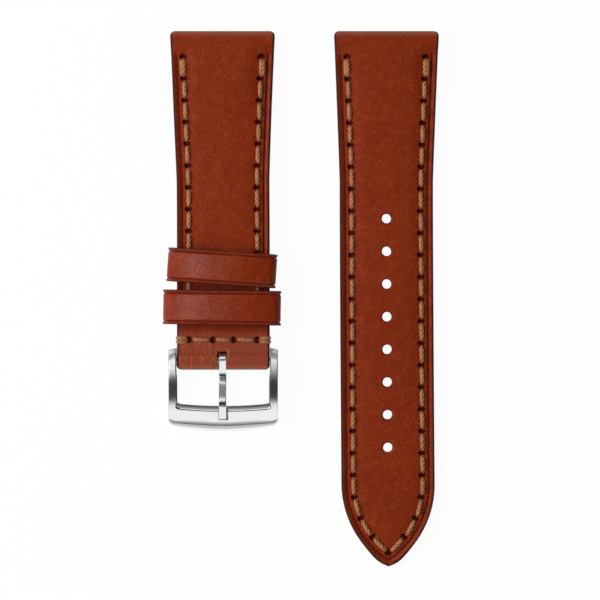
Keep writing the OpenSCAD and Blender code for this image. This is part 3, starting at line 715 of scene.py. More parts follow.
def makeCrossSeam(waxed):
    top, low = barZ + turnThickness, barZ - turnThickness
    edge = halfWidth(buckleHalf, crossAlong)
    profile = [(0.3, -1, 0.4), (0.56, -0.7, 0.5), (0.76, -0.25, 0.62), (1.05, 0.02, 0.75), (1.5, 0.16, 0.84)]

    def key(x, z, thick, shift=0.0):
        return spot(buckleHalf, x, crossAlong + shift, z), Vector((0, 1, 0)), thick

    upper, lower = bmesh.new(), bmesh.new()
    for a, b in zip(crossHoles, crossHoles[1:]):
        gap = b - a
        shape = risenKeys(profile, gap, 0.2, 0.88)
        above = [key(a + p, top + z, w, 0.24 * (p / gap - 0.5)) for p, z, w in shape]
        addThread(upper, above, thread["radius"], phase=a)
        beneath = [key(a + p, low - z * 0.8, w) for p, z, w in shape]
        addThread(lower, beneath, thread["radius"] * 0.9, phase=b)
    for sign in (-1, 1):  # two turns of thread round each edge
        hole = sign * crossHoles[3 if sign > 0 else 0]
        over = [
            (hole + 0.3, -0.9, 0.5), (hole + 0.6, -0.3, 0.7), (hole + 1.05, 0.08, 0.86),
            (edge - 0.65, 0.1, 0.92), (edge - 0.22, -0.22, 0.9),
        ]
        wrap = [(x, top + z, w) for x, z, w in over] + [(edge - 0.1, (top + low) / 2, 0.88)]
        wrap += [(x, low - z, w) for x, z, w in reversed(over)]
        for shift, phase in ((-0.36, 0.3), (0.4, 1.4)):
            keys = [key(sign * x, z, w * 0.9, shift * (0.5 if w < 0.8 else 1)) for x, z, w in wrap]
            addThread(upper, keys, thread["radius"], phase=phase)
    seam = finishedPiece("crossSeamThread", upper, sharp=70)
    settle(seam, waxed, "buckle_half", "sewing_thread", "cross_seam_thread")
    seam = finishedPiece("crossSeamUnderThread", lower, sharp=70)
    settle(seam, waxed, "buckle_half", "sewing_thread", "cross_seam_under_thread")


# Keepers: creased bands whose rims curl outwards

keeper = {
    "thickness": 1.0, "crown": 1.05, "corner": 1.3, "top": 6.4, "under": 1.3,
    "creaseIn": 0.75, "creaseWide": 0.15, "creaseDeep": 0.2, "curl": 0.38, "sideCurl": 0.16,
    "curlWide": 0.62, "curlFrom": 2.0, "curlRise": 1.8, "paintWide": 0.3, "paintDeep": 0.35,
}
fixedKeeper = {"along": fixedAlong - 0.06, "wide": 7.25, "turn": -0.8, "room": 1.6, "aside": -0.24}
freeKeeper = {"along": fixedAlong - 8.37, "wide": 7.1, "turn": -3.85, "room": 0.68, "aside": -0.27}


def arcPoints(centreX, centreZ, radius, start, end, count):
    angles = [math.radians(mix(start, end, i / count)) for i in range(count + 1)]
    return [(centreX + radius * math.cos(a), centreZ + radius * math.sin(a)) for a in angles]


def crownPoints(reach, high, count):
    shares = [1 - 2 * i / count for i in range(1, count)]
    return [(share * reach, high - keeper["crown"] * (share ** 2 + share ** 4) / 2) for share in shares]


def keeperBand(name, shape, line, thickness, closed):
    wide = shape["wide"]
    edge = [0, 0.05, 0.12, 0.2, 0.3, 0.42, 0.55, 0.62, 0.69, 0.75, 0.81, 0.88, 0.98, 1.15, 1.5, 2.1, 2.8]
    columns = [-wide / 2 + inset for inset in edge] + [0] + [wide / 2 - inset for inset in reversed(edge)]
    rows = list(range(len(line)))
    count = len(line) - 1 if closed else len(line)

    def normalAt(j):
        if closed:
            before, after = line[(j - 1) % count], line[(j + 1) % count]
        else:
            before, after = line[max(0, j - 1)], line[min(len(line) - 1, j + 1)]
        along = Vector((after[0] - before[0], 0, after[1] - before[1])).normalized()
        return Vector((along.z, 0, -along.x))

    normals = [normalAt(j % count) for j in rows]
    turn = Matrix.Rotation(math.radians(shape["turn"]), 3, "Z")
    centre = spot(buckleHalf, shape["aside"], shape["along"], 0)

    def skin(j, y, ignored, inner):
        inset = wide / 2 - abs(y)
        x, z = line[j]
        free = smooth((z - keeper["curlFrom"]) / keeper["curlRise"])
        curl = mix(keeper["sideCurl"], keeper["curl"], smooth(normals[j].z))
        lift = curl * free * smooth(1 - inset / keeper["curlWide"]) ** 1.3
        if not inner:
            beside = (inset - keeper["creaseIn"]) / keeper["creaseWide"]
            lift -= keeper["creaseDeep"] * math.exp(-beside ** 2)
        lift += 0.025 * noise.noise(Vector((x * 0.3, y * 0.3, z * 0.3 + shape["along"])))
        half = thickness(x, z) / 2
        drop = paintDrop(inset, keeper["paintWide"], keeper["paintDeep"] * half / 0.5)
        away = -half + drop * 0.6 if inner else half - drop
        return centre + turn @ (Vector((x, y, z)) + normals[j] * (away + lift))

    def marks(j, y, *place):
        inset = wide / 2 - abs(y)
        # the keeper's crease is painted darker: painted shade
        grooveShade = math.exp(-((inset - keeper["creaseIn"]) / 0.13) ** 2)
        return 1 - smooth((inset - 0.12) / 0.14), 0.7 * grooveShade

    return layer(name, rows, columns, lambda row, column: (column, 0), skin, marks)


def makeKeepers(leather):
    thick = keeper["thickness"]
    bend, edge = keeper["corner"] + thick / 2, buckleHalf["width"] / 2
    high = keeper["top"] + thick / 2
    shoulder = high - keeper["crown"] - bend
    reach = edge + fixedKeeper["room"] + thick / 2 - bend
    legZ = keeper["under"] + strap["lining"] + strap["glue"] + strap["filler"] / 2
    side = [(mix(edge - strap["seamIn"] - 1.5, edge + 0.15, i / 5), legZ) for i in range(6)]
    side += arcPoints(reach, legZ + bend, bend, -80, 0, 10)
    side += arcPoints(reach, shoulder, bend, 0, 74, 10)
    line = side + crownPoints(reach, high, 24) + [(-x, z) for x, z in reversed(side)]

    def pared(x, z):
        if z > legZ + bend:
            return thick
        return mix(strap["filler"], thick, clamp((abs(x) - edge - 0.15) / 1.2))

    fixed = keeperBand("fixedKeeper", fixedKeeper, line, pared, False)
    settle(fixed, leather, "buckle_half", "strap_leather", "fixed_keeper")

    reach = halfWidth(buckleHalf, freeKeeper["along"]) + freeKeeper["room"] + thick / 2 - bend
    line = [(mix(-reach, reach, i / 20), thick / 2) for i in range(1, 20)]
    line += arcPoints(reach, thick / 2 + bend, bend, -90, 0, 10)
    line += arcPoints(reach, shoulder, bend, 0, 74, 10)
    line += crownPoints(reach, high, 24)
    line += arcPoints(-reach, shoulder, bend, 106, 180, 10)
    line += arcPoints(-reach, thick / 2 + bend, bend, 180, 270, 10)
    line += [line[0]]
    free = keeperBand("freeKeeper", freeKeeper, line, lambda x, z: thick, True)
    settle(free, leather, "free_keeper", "strap_leather", "free_keeper")


# Buckle frame: a rounded U arched forward from its ears, measured ahead of the bar and above it

buckle = {
    "inside": 9.6, "armWide": 1.87, "earRelief": 0.2, "length": 15, "thickness": 2.2,
    "earRadius": 2.3, "earReach": 2.6, "browEnd": 1.4, "facetFrom": 1.76,
    "archRise": 1, "frontHeight": 0.014,
    "frontBar": 5.35, "frontRadius": 51.5, "windowRadius": 90, "windowCorner": 0.8, "outerCorner": 1.15,
    "innerRound": 0.22, "windowSlope": 1.1, "outerRound": 0.18, "noseRound": 2.1, "underRound": 0.15,
    "pinHole": 0.5, "pinMiddle": 9.9, "pinDepth": 1.1,
    "notchLeft": -1.02, "notchOpen": 0.74, "notchRight": 1.02, "notchEnd": 12.62,
}
chord = math.hypot(buckle["length"], buckle["frontHeight"] - buckle["earRadius"])
archRadius = (chord ** 2 / 4 + buckle["archRise"] ** 2) / (2 * buckle["archRise"])
archDrop = archRadius - buckle["archRise"]
archMidAhead = buckle["length"] / 2 - (buckle["earRadius"] - buckle["frontHeight"]) / chord * archDrop
archMidUp = (buckle["earRadius"] + buckle["frontHeight"]) / 2 - buckle["length"] / chord * archDrop


def archTop(ahead):
    if ahead < 0:
        brow, facet = min(-ahead, buckle["browEnd"]), max(0, -ahead - buckle["facetFrom"])
        knee = clamp((-ahead - buckle["browEnd"]) / 0.36)
        end = max(0, -ahead - buckle["earReach"] + 0.15) / 0.15
        up = buckle["earRadius"] - 0.11 * brow - brow ** 2 / 20
        up -= 0.09 * knee + 0.185 * knee ** 2 + 1.28 * facet
        return up * math.sqrt(max(0, 1 - end ** 2))
    return archMidUp + math.sqrt(archRadius ** 2 - (ahead - archMidAhead) ** 2)


def archLow(ahead):
    if ahead < 0:
        return -buckle["earRadius"] * math.sqrt(max(0, 1 - (ahead / buckle["earReach"]) ** 2))
    ear = -math.sqrt(max(0, buckle["earRadius"] ** 2 - ahead ** 2))
    arch = math.sqrt((archRadius - buckle["thickness"]) ** 2 - (ahead - archMidAhead) ** 2)
    return min(ear, archMidUp + arch)


def earOutside(ahead):
    facetFrom = buckle["facetFrom"]
    return -min(-ahead, facetFrom) / facetFrom - 1.1 * max(0, -ahead - facetFrom) / 0.84


def bowed(radius, middle, x):
    return middle - radius + math.sqrt(radius ** 2 - x ** 2)


def windowAhead(x):
    return bowed(buckle["windowRadius"], buckle["length"] - buckle["frontBar"], x)


def frontAhead(x):
    return bowed(buckle["frontRadius"], buckle["length"], x)


def pointsAlong(line, count):
    lengths = [0.0]
    for a, b in zip(line, line[1:]):
        lengths.append(lengths[-1] + math.dist(a, b))
    points = []
    for k in range(count + 1):
        goal = lengths[-1] * k / count
        i = max(0, min(len(line) - 2, sum(1 for length in lengths if length <= goal) - 1))
        share = (goal - lengths[i]) / max(1e-9, lengths[i + 1] - lengths[i])
        points.append((mix(line[i][0], line[i + 1][0], share), mix(line[i][1], line[i + 1][1], share)))
    return points


def frameStations():
    inside, outside = buckle["inside"], buckle["inside"] + buckle["armWide"]
    turn, corner = buckle["windowCorner"], buckle["outerCorner"]
    barStart = inside - turn
    armEnd = windowAhead(barStart) - turn
    ears = [-2.6, -2.59, -2.56, -2.5, -2.45, -2.3, -2.1, -1.93]
    ears += [-1.76, -1.7, -1.64, -1.58, -1.52, -1.46, -1.4, -1.2, -1, -0.75, -0.5, -0.25]
    arm = ears + spaced(0, 2.4, 10) + spaced(2.4, armEnd, 16)
    left = []
    for ahead in arm:
        relief = buckle["earRelief"] * (1 - smooth((ahead - 1.6) / 3))
        left.append(((-inside - relief, ahead), (-outside, ahead)))
    turns = [math.radians(angle) for angle in range(0, 91, 10)]
    innerArc = [(-barStart - turn * math.cos(a), armEnd + turn * math.sin(a)) for a in turns]
    squared = (-outside, frontAhead(outside))
    begin, finish = (-outside, squared[1] - corner), (-outside + corner, frontAhead(outside - corner))
    rounded = []
    for k in range(11):
        t = k / 10
        corners = zip(begin, squared, finish)
        rounded.append(tuple((1 - t) ** 2 * a + 2 * t * (1 - t) * b + t * t * c for a, b, c in corners))
    outerLine = [(-outside, armEnd)] + rounded + [(-barStart, frontAhead(barStart))]
    left += list(zip(pointsAlong(innerArc, 18), pointsAlong(outerLine, 18)))
    edges = (buckle["notchLeft"], buckle["notchOpen"], buckle["notchRight"])
    slots = [edge + step for edge in edges for step in (-0.012, 0.012)]
    across = spaced(-barStart, slots[0], 20)[1:] + slots[:2] + spaced(slots[1], slots[2], 6)[1:]
    across += slots[2:] + spaced(slots[5], barStart, 20)[1:]
    bar = [((x, windowAhead(x)), (x, frontAhead(x))) for x in across]
    right = [tuple((-x, ahead) for x, ahead in pair) for pair in reversed(left)]
    return left + bar + right


def frameSection(inner, outer):
    wide = math.dist(inner, outer)
    front = smooth((outer[1] - 12.2) / 1.6) * smooth(1.25 - abs(outer[0]) / 16)
    ahead = (inner[1] + outer[1]) / 2
    room = 0.46 * (archTop(ahead) - archLow(ahead)) if ahead < buckle["earRadius"] else 9
    innerRound = min(mix(buckle["innerRound"], buckle["windowSlope"], smooth((ahead - 8.8) / 2)), room)
    outerRound = min(mix(buckle["outerRound"], buckle["noseRound"], front), room)
    underRound = min(buckle["underRound"], room)
    inNotch = buckle["notchLeft"] < inner[0] < buckle["notchRight"] and ahead > 9

    def at(reach, top, drop):
        x, forward = (mix(a, b, reach / wide) for a, b in zip(inner, outer))
        up = archTop(forward) - drop if top else archLow(forward) + drop
        if forward < 0:
            forward = mix(forward, earOutside(forward), reach / wide)
        if top and inNotch and forward < buckle["notchEnd"]:
            up = min(up, pinFloor(forward) - drop * 0.5 - (0.55 if inner[0] > buckle["notchOpen"] else 0))
        return x, forward, up

    def rounding(radius, angle):  # how far it is in from the edge, and from the flat face
        a = math.radians(angle)
        return radius * (1 - math.cos(a)), radius * (1 - math.sin(a))

    points = []
    eased = smooth((ahead - 9.6) / 2)
    sloped = innerRound * mix(0.78, 0.6, eased)
    for share in (0, 0.06, 0.2, 0.35, 0.5, 0.65, 0.8, 0.92, 1):  # on the bar the chamfer eases into the top
        points.append(at(innerRound * share, True, sloped * (1 - share) ** mix(1, 1.3, eased)))
    shares = (0.1, 0.2, 0.32, 0.44, 0.56, 0.67, 0.76, 0.82, 0.83, 0.92)
    reaches = [mix(innerRound, wide - outerRound, share) for share in shares]
    stop = buckle["notchEnd"] - inner[1]
    near = smooth((8.5 - abs(inner[0])) / 6) if ahead > 11 else 0
    reaches[7:9] = [mix(reaches[7], stop - 0.012, near), mix(reaches[8], stop + 0.012, near)]
    points += [at(reach, True, 0) for reach in reaches]
    for angle in range(90, -1, -10):
        back, drop = rounding(outerRound, angle)
        points.append(at(wide - back, True, drop))
    for angle in (0, 45, 90):
        back, drop = rounding(underRound, angle)
        points.append(at(wide - back, False, drop))
    points += [at(wide * share, False, 0) for share in (0.75, 0.5, 0.25)]
    for angle in (90, 45, 0):
        back, drop = rounding(underRound, angle)
        points.append(at(back, False, drop))
    return points


def atBar(x, ahead, up):
    return Vector((barX + x, barY - ahead, barZ + up))


# Rolls a grid into a tube whose ring j has its point i where place says
def rolled(rings, around, place):
    mesh = bmesh.new()
    bmesh.ops.create_grid(mesh, x_segments=around, y_segments=rings - 1, size=0.5)
    for vert in mesh.verts:
        i, j = round((vert.co.x + 0.5) * around) % around, round((vert.co.y + 0.5) * (rings - 1))
        vert.co = place(j, i)
    closeTube(mesh, 0.0003)
    return mesh


def boredFrame():
    sections = [frameSection(inner, outer) for inner, outer in frameStations()]
    mesh = rolled(len(sections), len(sections[0]), lambda j, i: atBar(*sections[j][i]))
    piece = finishedPiece("buckleFrame", mesh, sharp=25)
    cutters = []
    for side in (-1, 1):
        drill = bmesh.new()
        place = Matrix.Translation(atBar(side * buckle["pinMiddle"], 0, 0))
        bmesh.ops.create_cone(
            drill, cap_ends=True, segments=40, radius1=buckle["pinHole"], radius2=buckle["pinHole"],
            depth=2 * buckle["pinDepth"], matrix=place @ Matrix.Rotation(math.pi / 2, 4, "Y"),
        )
        cutters.append(finishedPiece("drill", drill))
        hole = piece.modifiers.new("pinHole", "BOOLEAN")
        hole.object, hole.operation, hole.solver = cutters[-1], "DIFFERENCE", "EXACT"
    bored = bpy.data.meshes.new_from_object(piece.evaluated_get(bpy.context.evaluated_depsgraph_get()))
    piece.modifiers.clear()
    piece.data = bored
    for cutter in cutters:
        bpy.data.objects.remove(cutter)
    notchShade = bored.attributes.new("notchShade", "FLOAT", "POINT")
    for vert, value in zip(bored.vertices, notchShade.data):  # painted shade: the notch's open side is painted near black, where it lies in shade
        x, ahead, up = vert.co.x / mm - barX, barY - vert.co.y / mm, vert.co.z / mm - barZ
        beside = buckle["notchOpen"] - 0.03 < x < buckle["notchRight"]
        sunkShade = beside and 9 < ahead < buckle["notchEnd"] + 0.05 and up < archTop(ahead) - 0.3
        value.value = 0.75 if sunkShade else 0
    return piece


# Tongue: flat steel curled round the bar, dipping and then rising to rest in the frame's notch

tongue = {
    "curlInside": 0.95, "curlThick": 0.5, "halfWide": 0.79, "tipHalfWide": 0.83,
    "round": 0.13, "tipRound": 0.38, "aside": -0.14,
    "topLine": [  # ahead of the bar, height of the top, thickness
        (-0.1, 1.54, 0.6), (0.33, 1.45, 0.58), (1.0, 1.27, 0.56), (1.6, 1.105, 0.6), (2.2, 0.94, 0.68),
        (2.75, 0.804, 0.78), (3.2, 0.732, 0.88), (3.5, 0.714, 0.94), (4.3, 0.70, 1.02), (4.8, 0.72, 1.06),
        (5.4, 0.86, 1.1), (6.2, 1.165, 1.1), (7.0, 1.48, 1.1), (7.75, 1.78, 1.1), (8.1, 1.885, 1.1),
        (8.5, 1.94, 1.1), (8.8, 1.95, 1.1), (9.2, 1.92, 1.1), (9.6, 1.855, 1.1), (9.9, 1.79, 1.1),
        (10.4, 1.665, 1.1), (11.0, 1.515, 1.1), (12.45, 1.15, 1.1),
    ],
}


def tongueLine():
    line = []
    for turned in range(28, 246, 7):  # the curl is wider at its back and flatter on top than a circle
        a = math.radians(-turned)
        thick = tongue["curlThick"] + 0.22 * hill(turned - 185, 80) + 0.14 * smooth((turned - 190) / 50)
        middle = tongue["curlInside"] + thick / 2
        line.append((middle * math.cos(a), middle * math.sin(a), thick))
    for ahead, top, thick in tongue["topLine"]:
        line.append((ahead, top - thick / 2, thick))
    keys = [(Vector((ahead, up)), thick) for ahead, up, thick in line]
    return [(point, thick) for point, thick in throughPoints(keys, 0.12)]


def pinFloor(ahead):
    line = tongue["topLine"]
    for (a, topA, thickA), (b, topB, thickB) in zip(line, line[1:]):
        if a <= ahead <= b:
            return mix(topA - thickA, topB - thickB, (ahead - a) / (b - a)) - 0.1
    return line[-1][1] - line[-1][2] - 0.1


def makeTongue(steel):
    line = tongueLine()
    travelled = travelledAlong([point for point, thick in line])

    def ring(j):
        point, thick = line[j]
        way = (line[min(len(line) - 1, j + 1)][0] - line[max(0, j - 1)][0]).normalized()
        out = Vector((-way.y, way.x))
        left = travelled[-1] - travelled[j]
        tipped = tongue["tipRound"]
        drawn = tipped - math.sqrt(max(0, tipped ** 2 - max(0, tipped - left) ** 2))
        half = mix(tongue["halfWide"], tongue["tipHalfWide"], smooth((point.x - 8.5) / 2.5)) - drawn * 0.8
        corner = tongue["round"]
        shape = []
        for centreX, centreUp, start in ((1, 1, 0), (-1, 1, 90), (-1, -1, 180), (1, -1, 270)):
            for step in range(0, 91, 18):
                a = math.radians(start + step)
                x = centreX * (half - corner) + corner * math.cos(a)
                up = centreUp * (thick / 2 - corner) + corner * math.sin(a)
                up -= drawn * 0.8 if centreUp > 0 else 0
                shape.append((x + tongue["aside"], *(point + out * up)))
            if start in (0, 180):
                for share in (0.8, 0.3, -0.3, -0.8):
                    shape.append((centreX * share * (half - corner) + tongue["aside"], *(point + out * up)))
        return shape

    rings = [ring(j) for j in range(len(line))]
    mesh = rolled(len(rings), len(rings[0]), lambda j, i: atBar(*rings[j][i]))
    piece = finishedPiece("buckleTongue", mesh, sharp=50)
    settle(piece, steel, "buckle_tongue", "brushed_steel", "buckle_tongue")


# The spring in the barrel: one coil in two halves

spring = {"wire": 0.08, "around": 6, "perTurn": 10, "turns": 7, "gap": 0.01, "press": 1.1}


def makeSpring(steel):
    wire, around, count = spring["wire"], spring["around"], spring["perTurn"] * spring["turns"]
    low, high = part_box("spring_bar_spring")
    reach, coil = (high.x - low.x) / mm / 2, (high.z - low.z) / mm / 2 - wire
    length = reach - 2 * wire - spring["gap"]

    def coiled(side, j, i):
        turned, tilt = 2 * math.pi * j / spring["perTurn"], 2 * math.pi * i / around
        out = coil + wire * math.cos(tilt)
        along = spring["gap"] + wire + length * j / count + wire * math.sin(tilt)
        return atBar(side * along, out * math.cos(turned), side * out * math.sin(turned))

    for side, name in ((-1, "left"), (1, "right")):
        piece = finishedPiece(f"{name}Spring", rolled(count + 1, around, lambda j, i: coiled(side, j, i)))
        settle(piece, steel, "spring_bar", "bar_steel", "spring_bar_spring")
        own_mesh(piece)


def makeBuckle(steel, barSteel):
    settle(boredFrame(), steel, "buckle_frame", "brushed_steel", "buckle_frame")
    makeTongue(steel)
    makeSpring(barSteel)
    for node in ("barrel", "left_plunger", "right_plunger", "spring"):
        materials = frame["nodes"][f"spring_bar_{node}"].data.materials
        materials.clear()
        materials.append(barSteel)


# Materials

def newMaterial(name):
    material = bpy.data.materials.new(name)
    material.use_nodes = True
    shader = material.node_tree.nodes["Principled BSDF"]
    return material, material.node_tree, shader


def plug(tree, node, inputs):
    for key, value in inputs.items():
        if isinstance(value, bpy.types.NodeSocket):
            tree.links.new(value, node.inputs[key])
        else:
            node.inputs[key].default_value = value
    return node


def add(tree, kind, inputs, **settings):
    node = tree.nodes.new(kind)
    for key, value in settings.items():
        setattr(node, key, value)
    return plug(tree, node, inputs)


def objectPoints(tree, scale=(1, 1, 1)):
    points = add(tree, "ShaderNodeTexCoord", {}).outputs["Object"]
    return add(tree, "ShaderNodeMapping", {"Vector": points, "Scale": scale}).outputs["Vector"]


def cloud(tree, points, scale, detail=3, rough=0.5):
    inputs = {"Vector": points, "Scale": scale, "Detail": detail, "Roughness": rough}
    return add(tree, "ShaderNodeTexNoise", inputs).outputs["Fac"]


def between(tree, value, low, high, start=0.0, end=1.0):
    inputs = {"Value": value, "From Min": low, "From Max": high, "To Min": start, "To Max": end}
    return add(tree, "ShaderNodeMapRange", inputs).outputs["Result"]


def blended(tree, factor, a, b):
    return add(tree, "ShaderNodeMix", {0: factor, 6: a, 7: b}, data_type="RGBA").outputs[2]


def summed(tree, operation, a, b):
    return add(tree, "ShaderNodeMath", {0: a, 1: b}, operation=operation).outputs[0]


def painted(tree, name):
    return add(tree, "ShaderNodeAttribute", {}, attribute_name=name).outputs["Fac"]


def raised(tree, height, strength, distance, before=None):
    inputs = {"Height": height, "Strength": strength, "Distance": distance}
    if before:
        inputs["Normal"] = before
    return add(tree, "ShaderNodeBump", inputs).outputs["Normal"]


# grooveShade is painted shade and litSheen a painted highlight; the other tones are the leather's own colour
leatherLook = {
    "base": (0.24, 0.026, 0.003, 1), "deep": (0.17, 0.014, 0.002, 1), "light": (0.33, 0.055, 0.012, 1),
    "grooveShade": (0.05, 0.004, 0.003, 1), "litSheen": (0.37, 0.12, 0.07, 1), "paint": (0.030, 0.010, 0.008, 1),
}


def dyedLeather(name, gloss, rough, grain):
    material, tree, shader = newMaterial(name)
    points = objectPoints(tree)
    broad = cloud(tree, points, 140, 4, 0.55)
    patch = cloud(tree, points, 620, 5, 0.65)
    fine = cloud(tree, points, 2600, 3, 0.6)
    speck = cloud(tree, points, 3600, 2, 0.5)
    streak = cloud(tree, objectPoints(tree, (1, 0.25, 1)), 900, 3, 0.6)
    color = leatherLook["base"]
    for grains, low, high, most, tone in (
        (broad, 0.4, 0.7, 0.5, "deep"), (patch, 0.48, 0.72, 0.6, "light"), (fine, 0.58, 0.4, 0.7, "deep"),
        (speck, 0.6, 0.74, 0.6, "light"), (streak, 0.58, 0.8, 0.4, "deep"),
    ):
        color = blended(tree, between(tree, grains, low, high, 0, most), color, leatherLook[tone])
    place = add(tree, "ShaderNodeSeparateXYZ", {0: objectPoints(tree)}).outputs
    # The fold over the spring bar is wrinkled, most of all on its left
    folded = between(tree, place["Y"], -0.0045, -0.0075)
    folded = summed(tree, "MULTIPLY", folded, between(tree, place["X"], -0.0145, -0.019))
    wrinkles = summed(tree, "MULTIPLY", cloud(tree, objectPoints(tree, (1, 0.4, 1)), 1500, 2, 0.6), folded)
    color = blended(tree, between(tree, wrinkles, 0.55, 0.7, 0, 0.7), color, leatherLook["light"])
    # the shade and sheen attribute paints shade and highlight into the colour
    shadeAndSheen, paint = painted(tree, "shadeAndSheen"), painted(tree, "paint")
    color = blended(tree, between(tree, shadeAndSheen, -0.05, -1, 0, 1), color, leatherLook["litSheen"])
    color = blended(tree, between(tree, shadeAndSheen, 0.05, 0.8, 0, 0.92), color, leatherLook["grooveShade"])
    color = blended(tree, paint, color, leatherLook["paint"])
    roughness = between(tree, patch, 0.3, 0.7, rough, rough + 0.08)
    roughness = summed(tree, "SUBTRACT", roughness, between(tree, paint, 0, 1, 0, 0.12))
    pores = add(tree, "ShaderNodeTexVoronoi", {"Vector": points, "Scale": 3800}, feature="SMOOTH_F1")
    normal = raised(tree, pores.outputs["Distance"], 0.5 * grain, 0.00008)
    normal = raised(tree, fine, 0.6 * grain, 0.00012, normal)
    normal = raised(tree, patch, 0.4 * grain, 0.00012, normal)
    normal = raised(tree, wrinkles, 0.7, 0.0005, normal)
    plug(tree, shader, {
        "Base Color": color, "Roughness": roughness, "Specular IOR Level": gloss, "Normal": normal,
    })
    return material


def plainLeather():
    material, tree, shader = newMaterial("liningLeather")
    points = objectPoints(tree)
    broad = cloud(tree, points, 180, 4, 0.6)
    fine = cloud(tree, points, 3000, 4, 0.65)
    color = blended(tree, between(tree, broad, 0.35, 0.68), (0.52, 0.30, 0.15, 1), (0.43, 0.23, 0.11, 1))
    color = blended(tree, between(tree, fine, 0.6, 0.35, 0, 0.35), color, (0.34, 0.17, 0.08, 1))
    # painted shade in the lining's stitch holes
    color = blended(tree, painted(tree, "shadeAndSheen"), color, (0.12, 0.05, 0.02, 1))
    color = blended(tree, painted(tree, "paint"), color, leatherLook["paint"])
    pores = add(tree, "ShaderNodeTexVoronoi", {"Vector": points, "Scale": 3200}).outputs["Distance"]
    normal = raised(tree, fine, 0.3, 0.00005, raised(tree, pores, 0.35, 0.00005))
    plug(tree, shader, {"Base Color": color, "Roughness": 0.68, "Normal": normal})
    return material


def fibreBoard():
    material, tree, shader = newMaterial("fibreBoard")
    points = objectPoints(tree)
    fibres = cloud(tree, points, 1600, 5, 0.7)
    color = blended(tree, fibres, (0.45, 0.41, 0.33, 1), (0.6, 0.56, 0.48, 1))
    color = blended(tree, painted(tree, "paint"), color, leatherLook["paint"])
    plug(tree, shader, {"Base Color": color, "Roughness": 0.8, "Normal": raised(tree, fibres, 0.4, 0.00008)})
    return material


def waxedThread():
    material, tree, shader = newMaterial("waxedThread")
    uv = add(tree, "ShaderNodeUVMap", {}, uv_map="UVMap").outputs["UV"]
    laid = {"Vector": uv, "Rotation": (0, 0, 0.35), "Scale": (1.2, 46, 1)}
    slanted = add(tree, "ShaderNodeMapping", laid).outputs["Vector"]
    fibres = cloud(tree, slanted, 1.0, 4, 0.6)
    shade = cloud(tree, objectPoints(tree), 900, 3, 0.5)
    around = add(tree, "ShaderNodeSeparateXYZ", {"Vector": uv}).outputs["Y"]
    ply = summed(tree, "FRACT", summed(tree, "MULTIPLY", around, thread["plies"]), 0)
    beside = summed(tree, "ABSOLUTE", summed(tree, "SUBTRACT", ply, 0.5), 0)
    color = blended(tree, between(tree, fibres, 0.3, 0.7), (0.31, 0.102, 0.026, 1), (0.66, 0.28, 0.105, 1))
    color = blended(tree, between(tree, shade, 0.4, 0.7, 0, 0.5), color, (0.22, 0.075, 0.018, 1))
    # painted shade between the thread's plies
    color = blended(tree, between(tree, beside, 0.26, 0.02, 0, 0.75), color, (0.09, 0.028, 0.008, 1))
    # painted shade where the thread sinks into its holes
    color = blended(tree, painted(tree, "sunkShade"), color, (0.035, 0.006, 0.003, 1))
    normal = raised(tree, fibres, 0.5, 0.00006)
    plug(tree, shader, {"Base Color": color, "Roughness": 0.5, "Sheen Weight": 0.15, "Normal": normal})
    return material


def brushedSteel(name, tone, rough, alongX, alongY):
    material, tree, shader = newMaterial(name)
    lines = cloud(tree, objectPoints(tree, (alongX, alongY, 1)), 3500, 4, 0.7)
    # painted shade in the notch's open side
    color = blended(tree, painted(tree, "notchShade"), (tone, tone, tone * 1.01, 1), (0.02, 0.02, 0.02, 1))
    roughness = between(tree, lines, 0.2, 0.8, rough * 0.85, rough * 1.15)
    normal = raised(tree, lines, 0.1, 0.000004)
    plug(tree, shader, {"Base Color": color, "Metallic": 1, "Roughness": roughness, "Normal": normal})
    return material


# The studio: camera straight above, soft light from the left, white surroundings

studio = {
    "pixelsPerMm": 4.77, "middleX": 302.4, "middleY": 298.75, "side": 600,
    "lens": 200, "sensor": 36, "faceHeight": 3.0,
}


def makeCamera():
    frameWidth = studio["side"] / studio["pixelsPerMm"]
    distance = frameWidth * studio["lens"] / studio["sensor"]
    data = bpy.data.cameras.new("camera")
    data.lens, data.sensor_width = studio["lens"], studio["sensor"]
    data.clip_start, data.clip_end = 0.01, 20
    camera = bpy.data.objects.new("camera", data)
    x = (studio["side"] / 2 - studio["middleX"]) / studio["pixelsPerMm"]
    y = (studio["middleY"] - studio["side"] / 2) / studio["pixelsPerMm"]
    camera.location = (x * mm, y * mm, (distance + studio["faceHeight"]) * mm)
    bpy.context.scene.collection.objects.link(camera)
    bpy.context.scene.camera = camera


def softbox(name, place, target, wide, high, power):
    data = bpy.data.lights.new(name, "AREA")
    data.shape, data.size, data.size_y, data.energy = "RECTANGLE", wide, high, power
    lamp = bpy.data.objects.new(name, data)
    lamp.location = place
    lamp.rotation_euler = (Vector(target) - Vector(place)).to_track_quat("-Z", "Y").to_euler()
    bpy.context.scene.collection.objects.link(lamp)
    return lamp


def whiteRays(tree):
    path = add(tree, "ShaderNodeLightPath", {}).outputs
    seen = summed(tree, "ADD", path["Is Camera Ray"], path["Is Glossy Ray"])
    rays = {0: seen, 1: path["Is Transmission Ray"]}
    return add(tree, "ShaderNodeMath", rays, operation="ADD", use_clamp=True).outputs[0]


def staged(name, mesh, material, height=0.0):
    data = bpy.data.meshes.new(name)
    mesh.to_mesh(data)
    mesh.free()
    data.materials.append(material)
    sheet = bpy.data.objects.new(name, data)
    sheet.location.z = height
    bpy.context.scene.collection.objects.link(sheet)
    return sheet


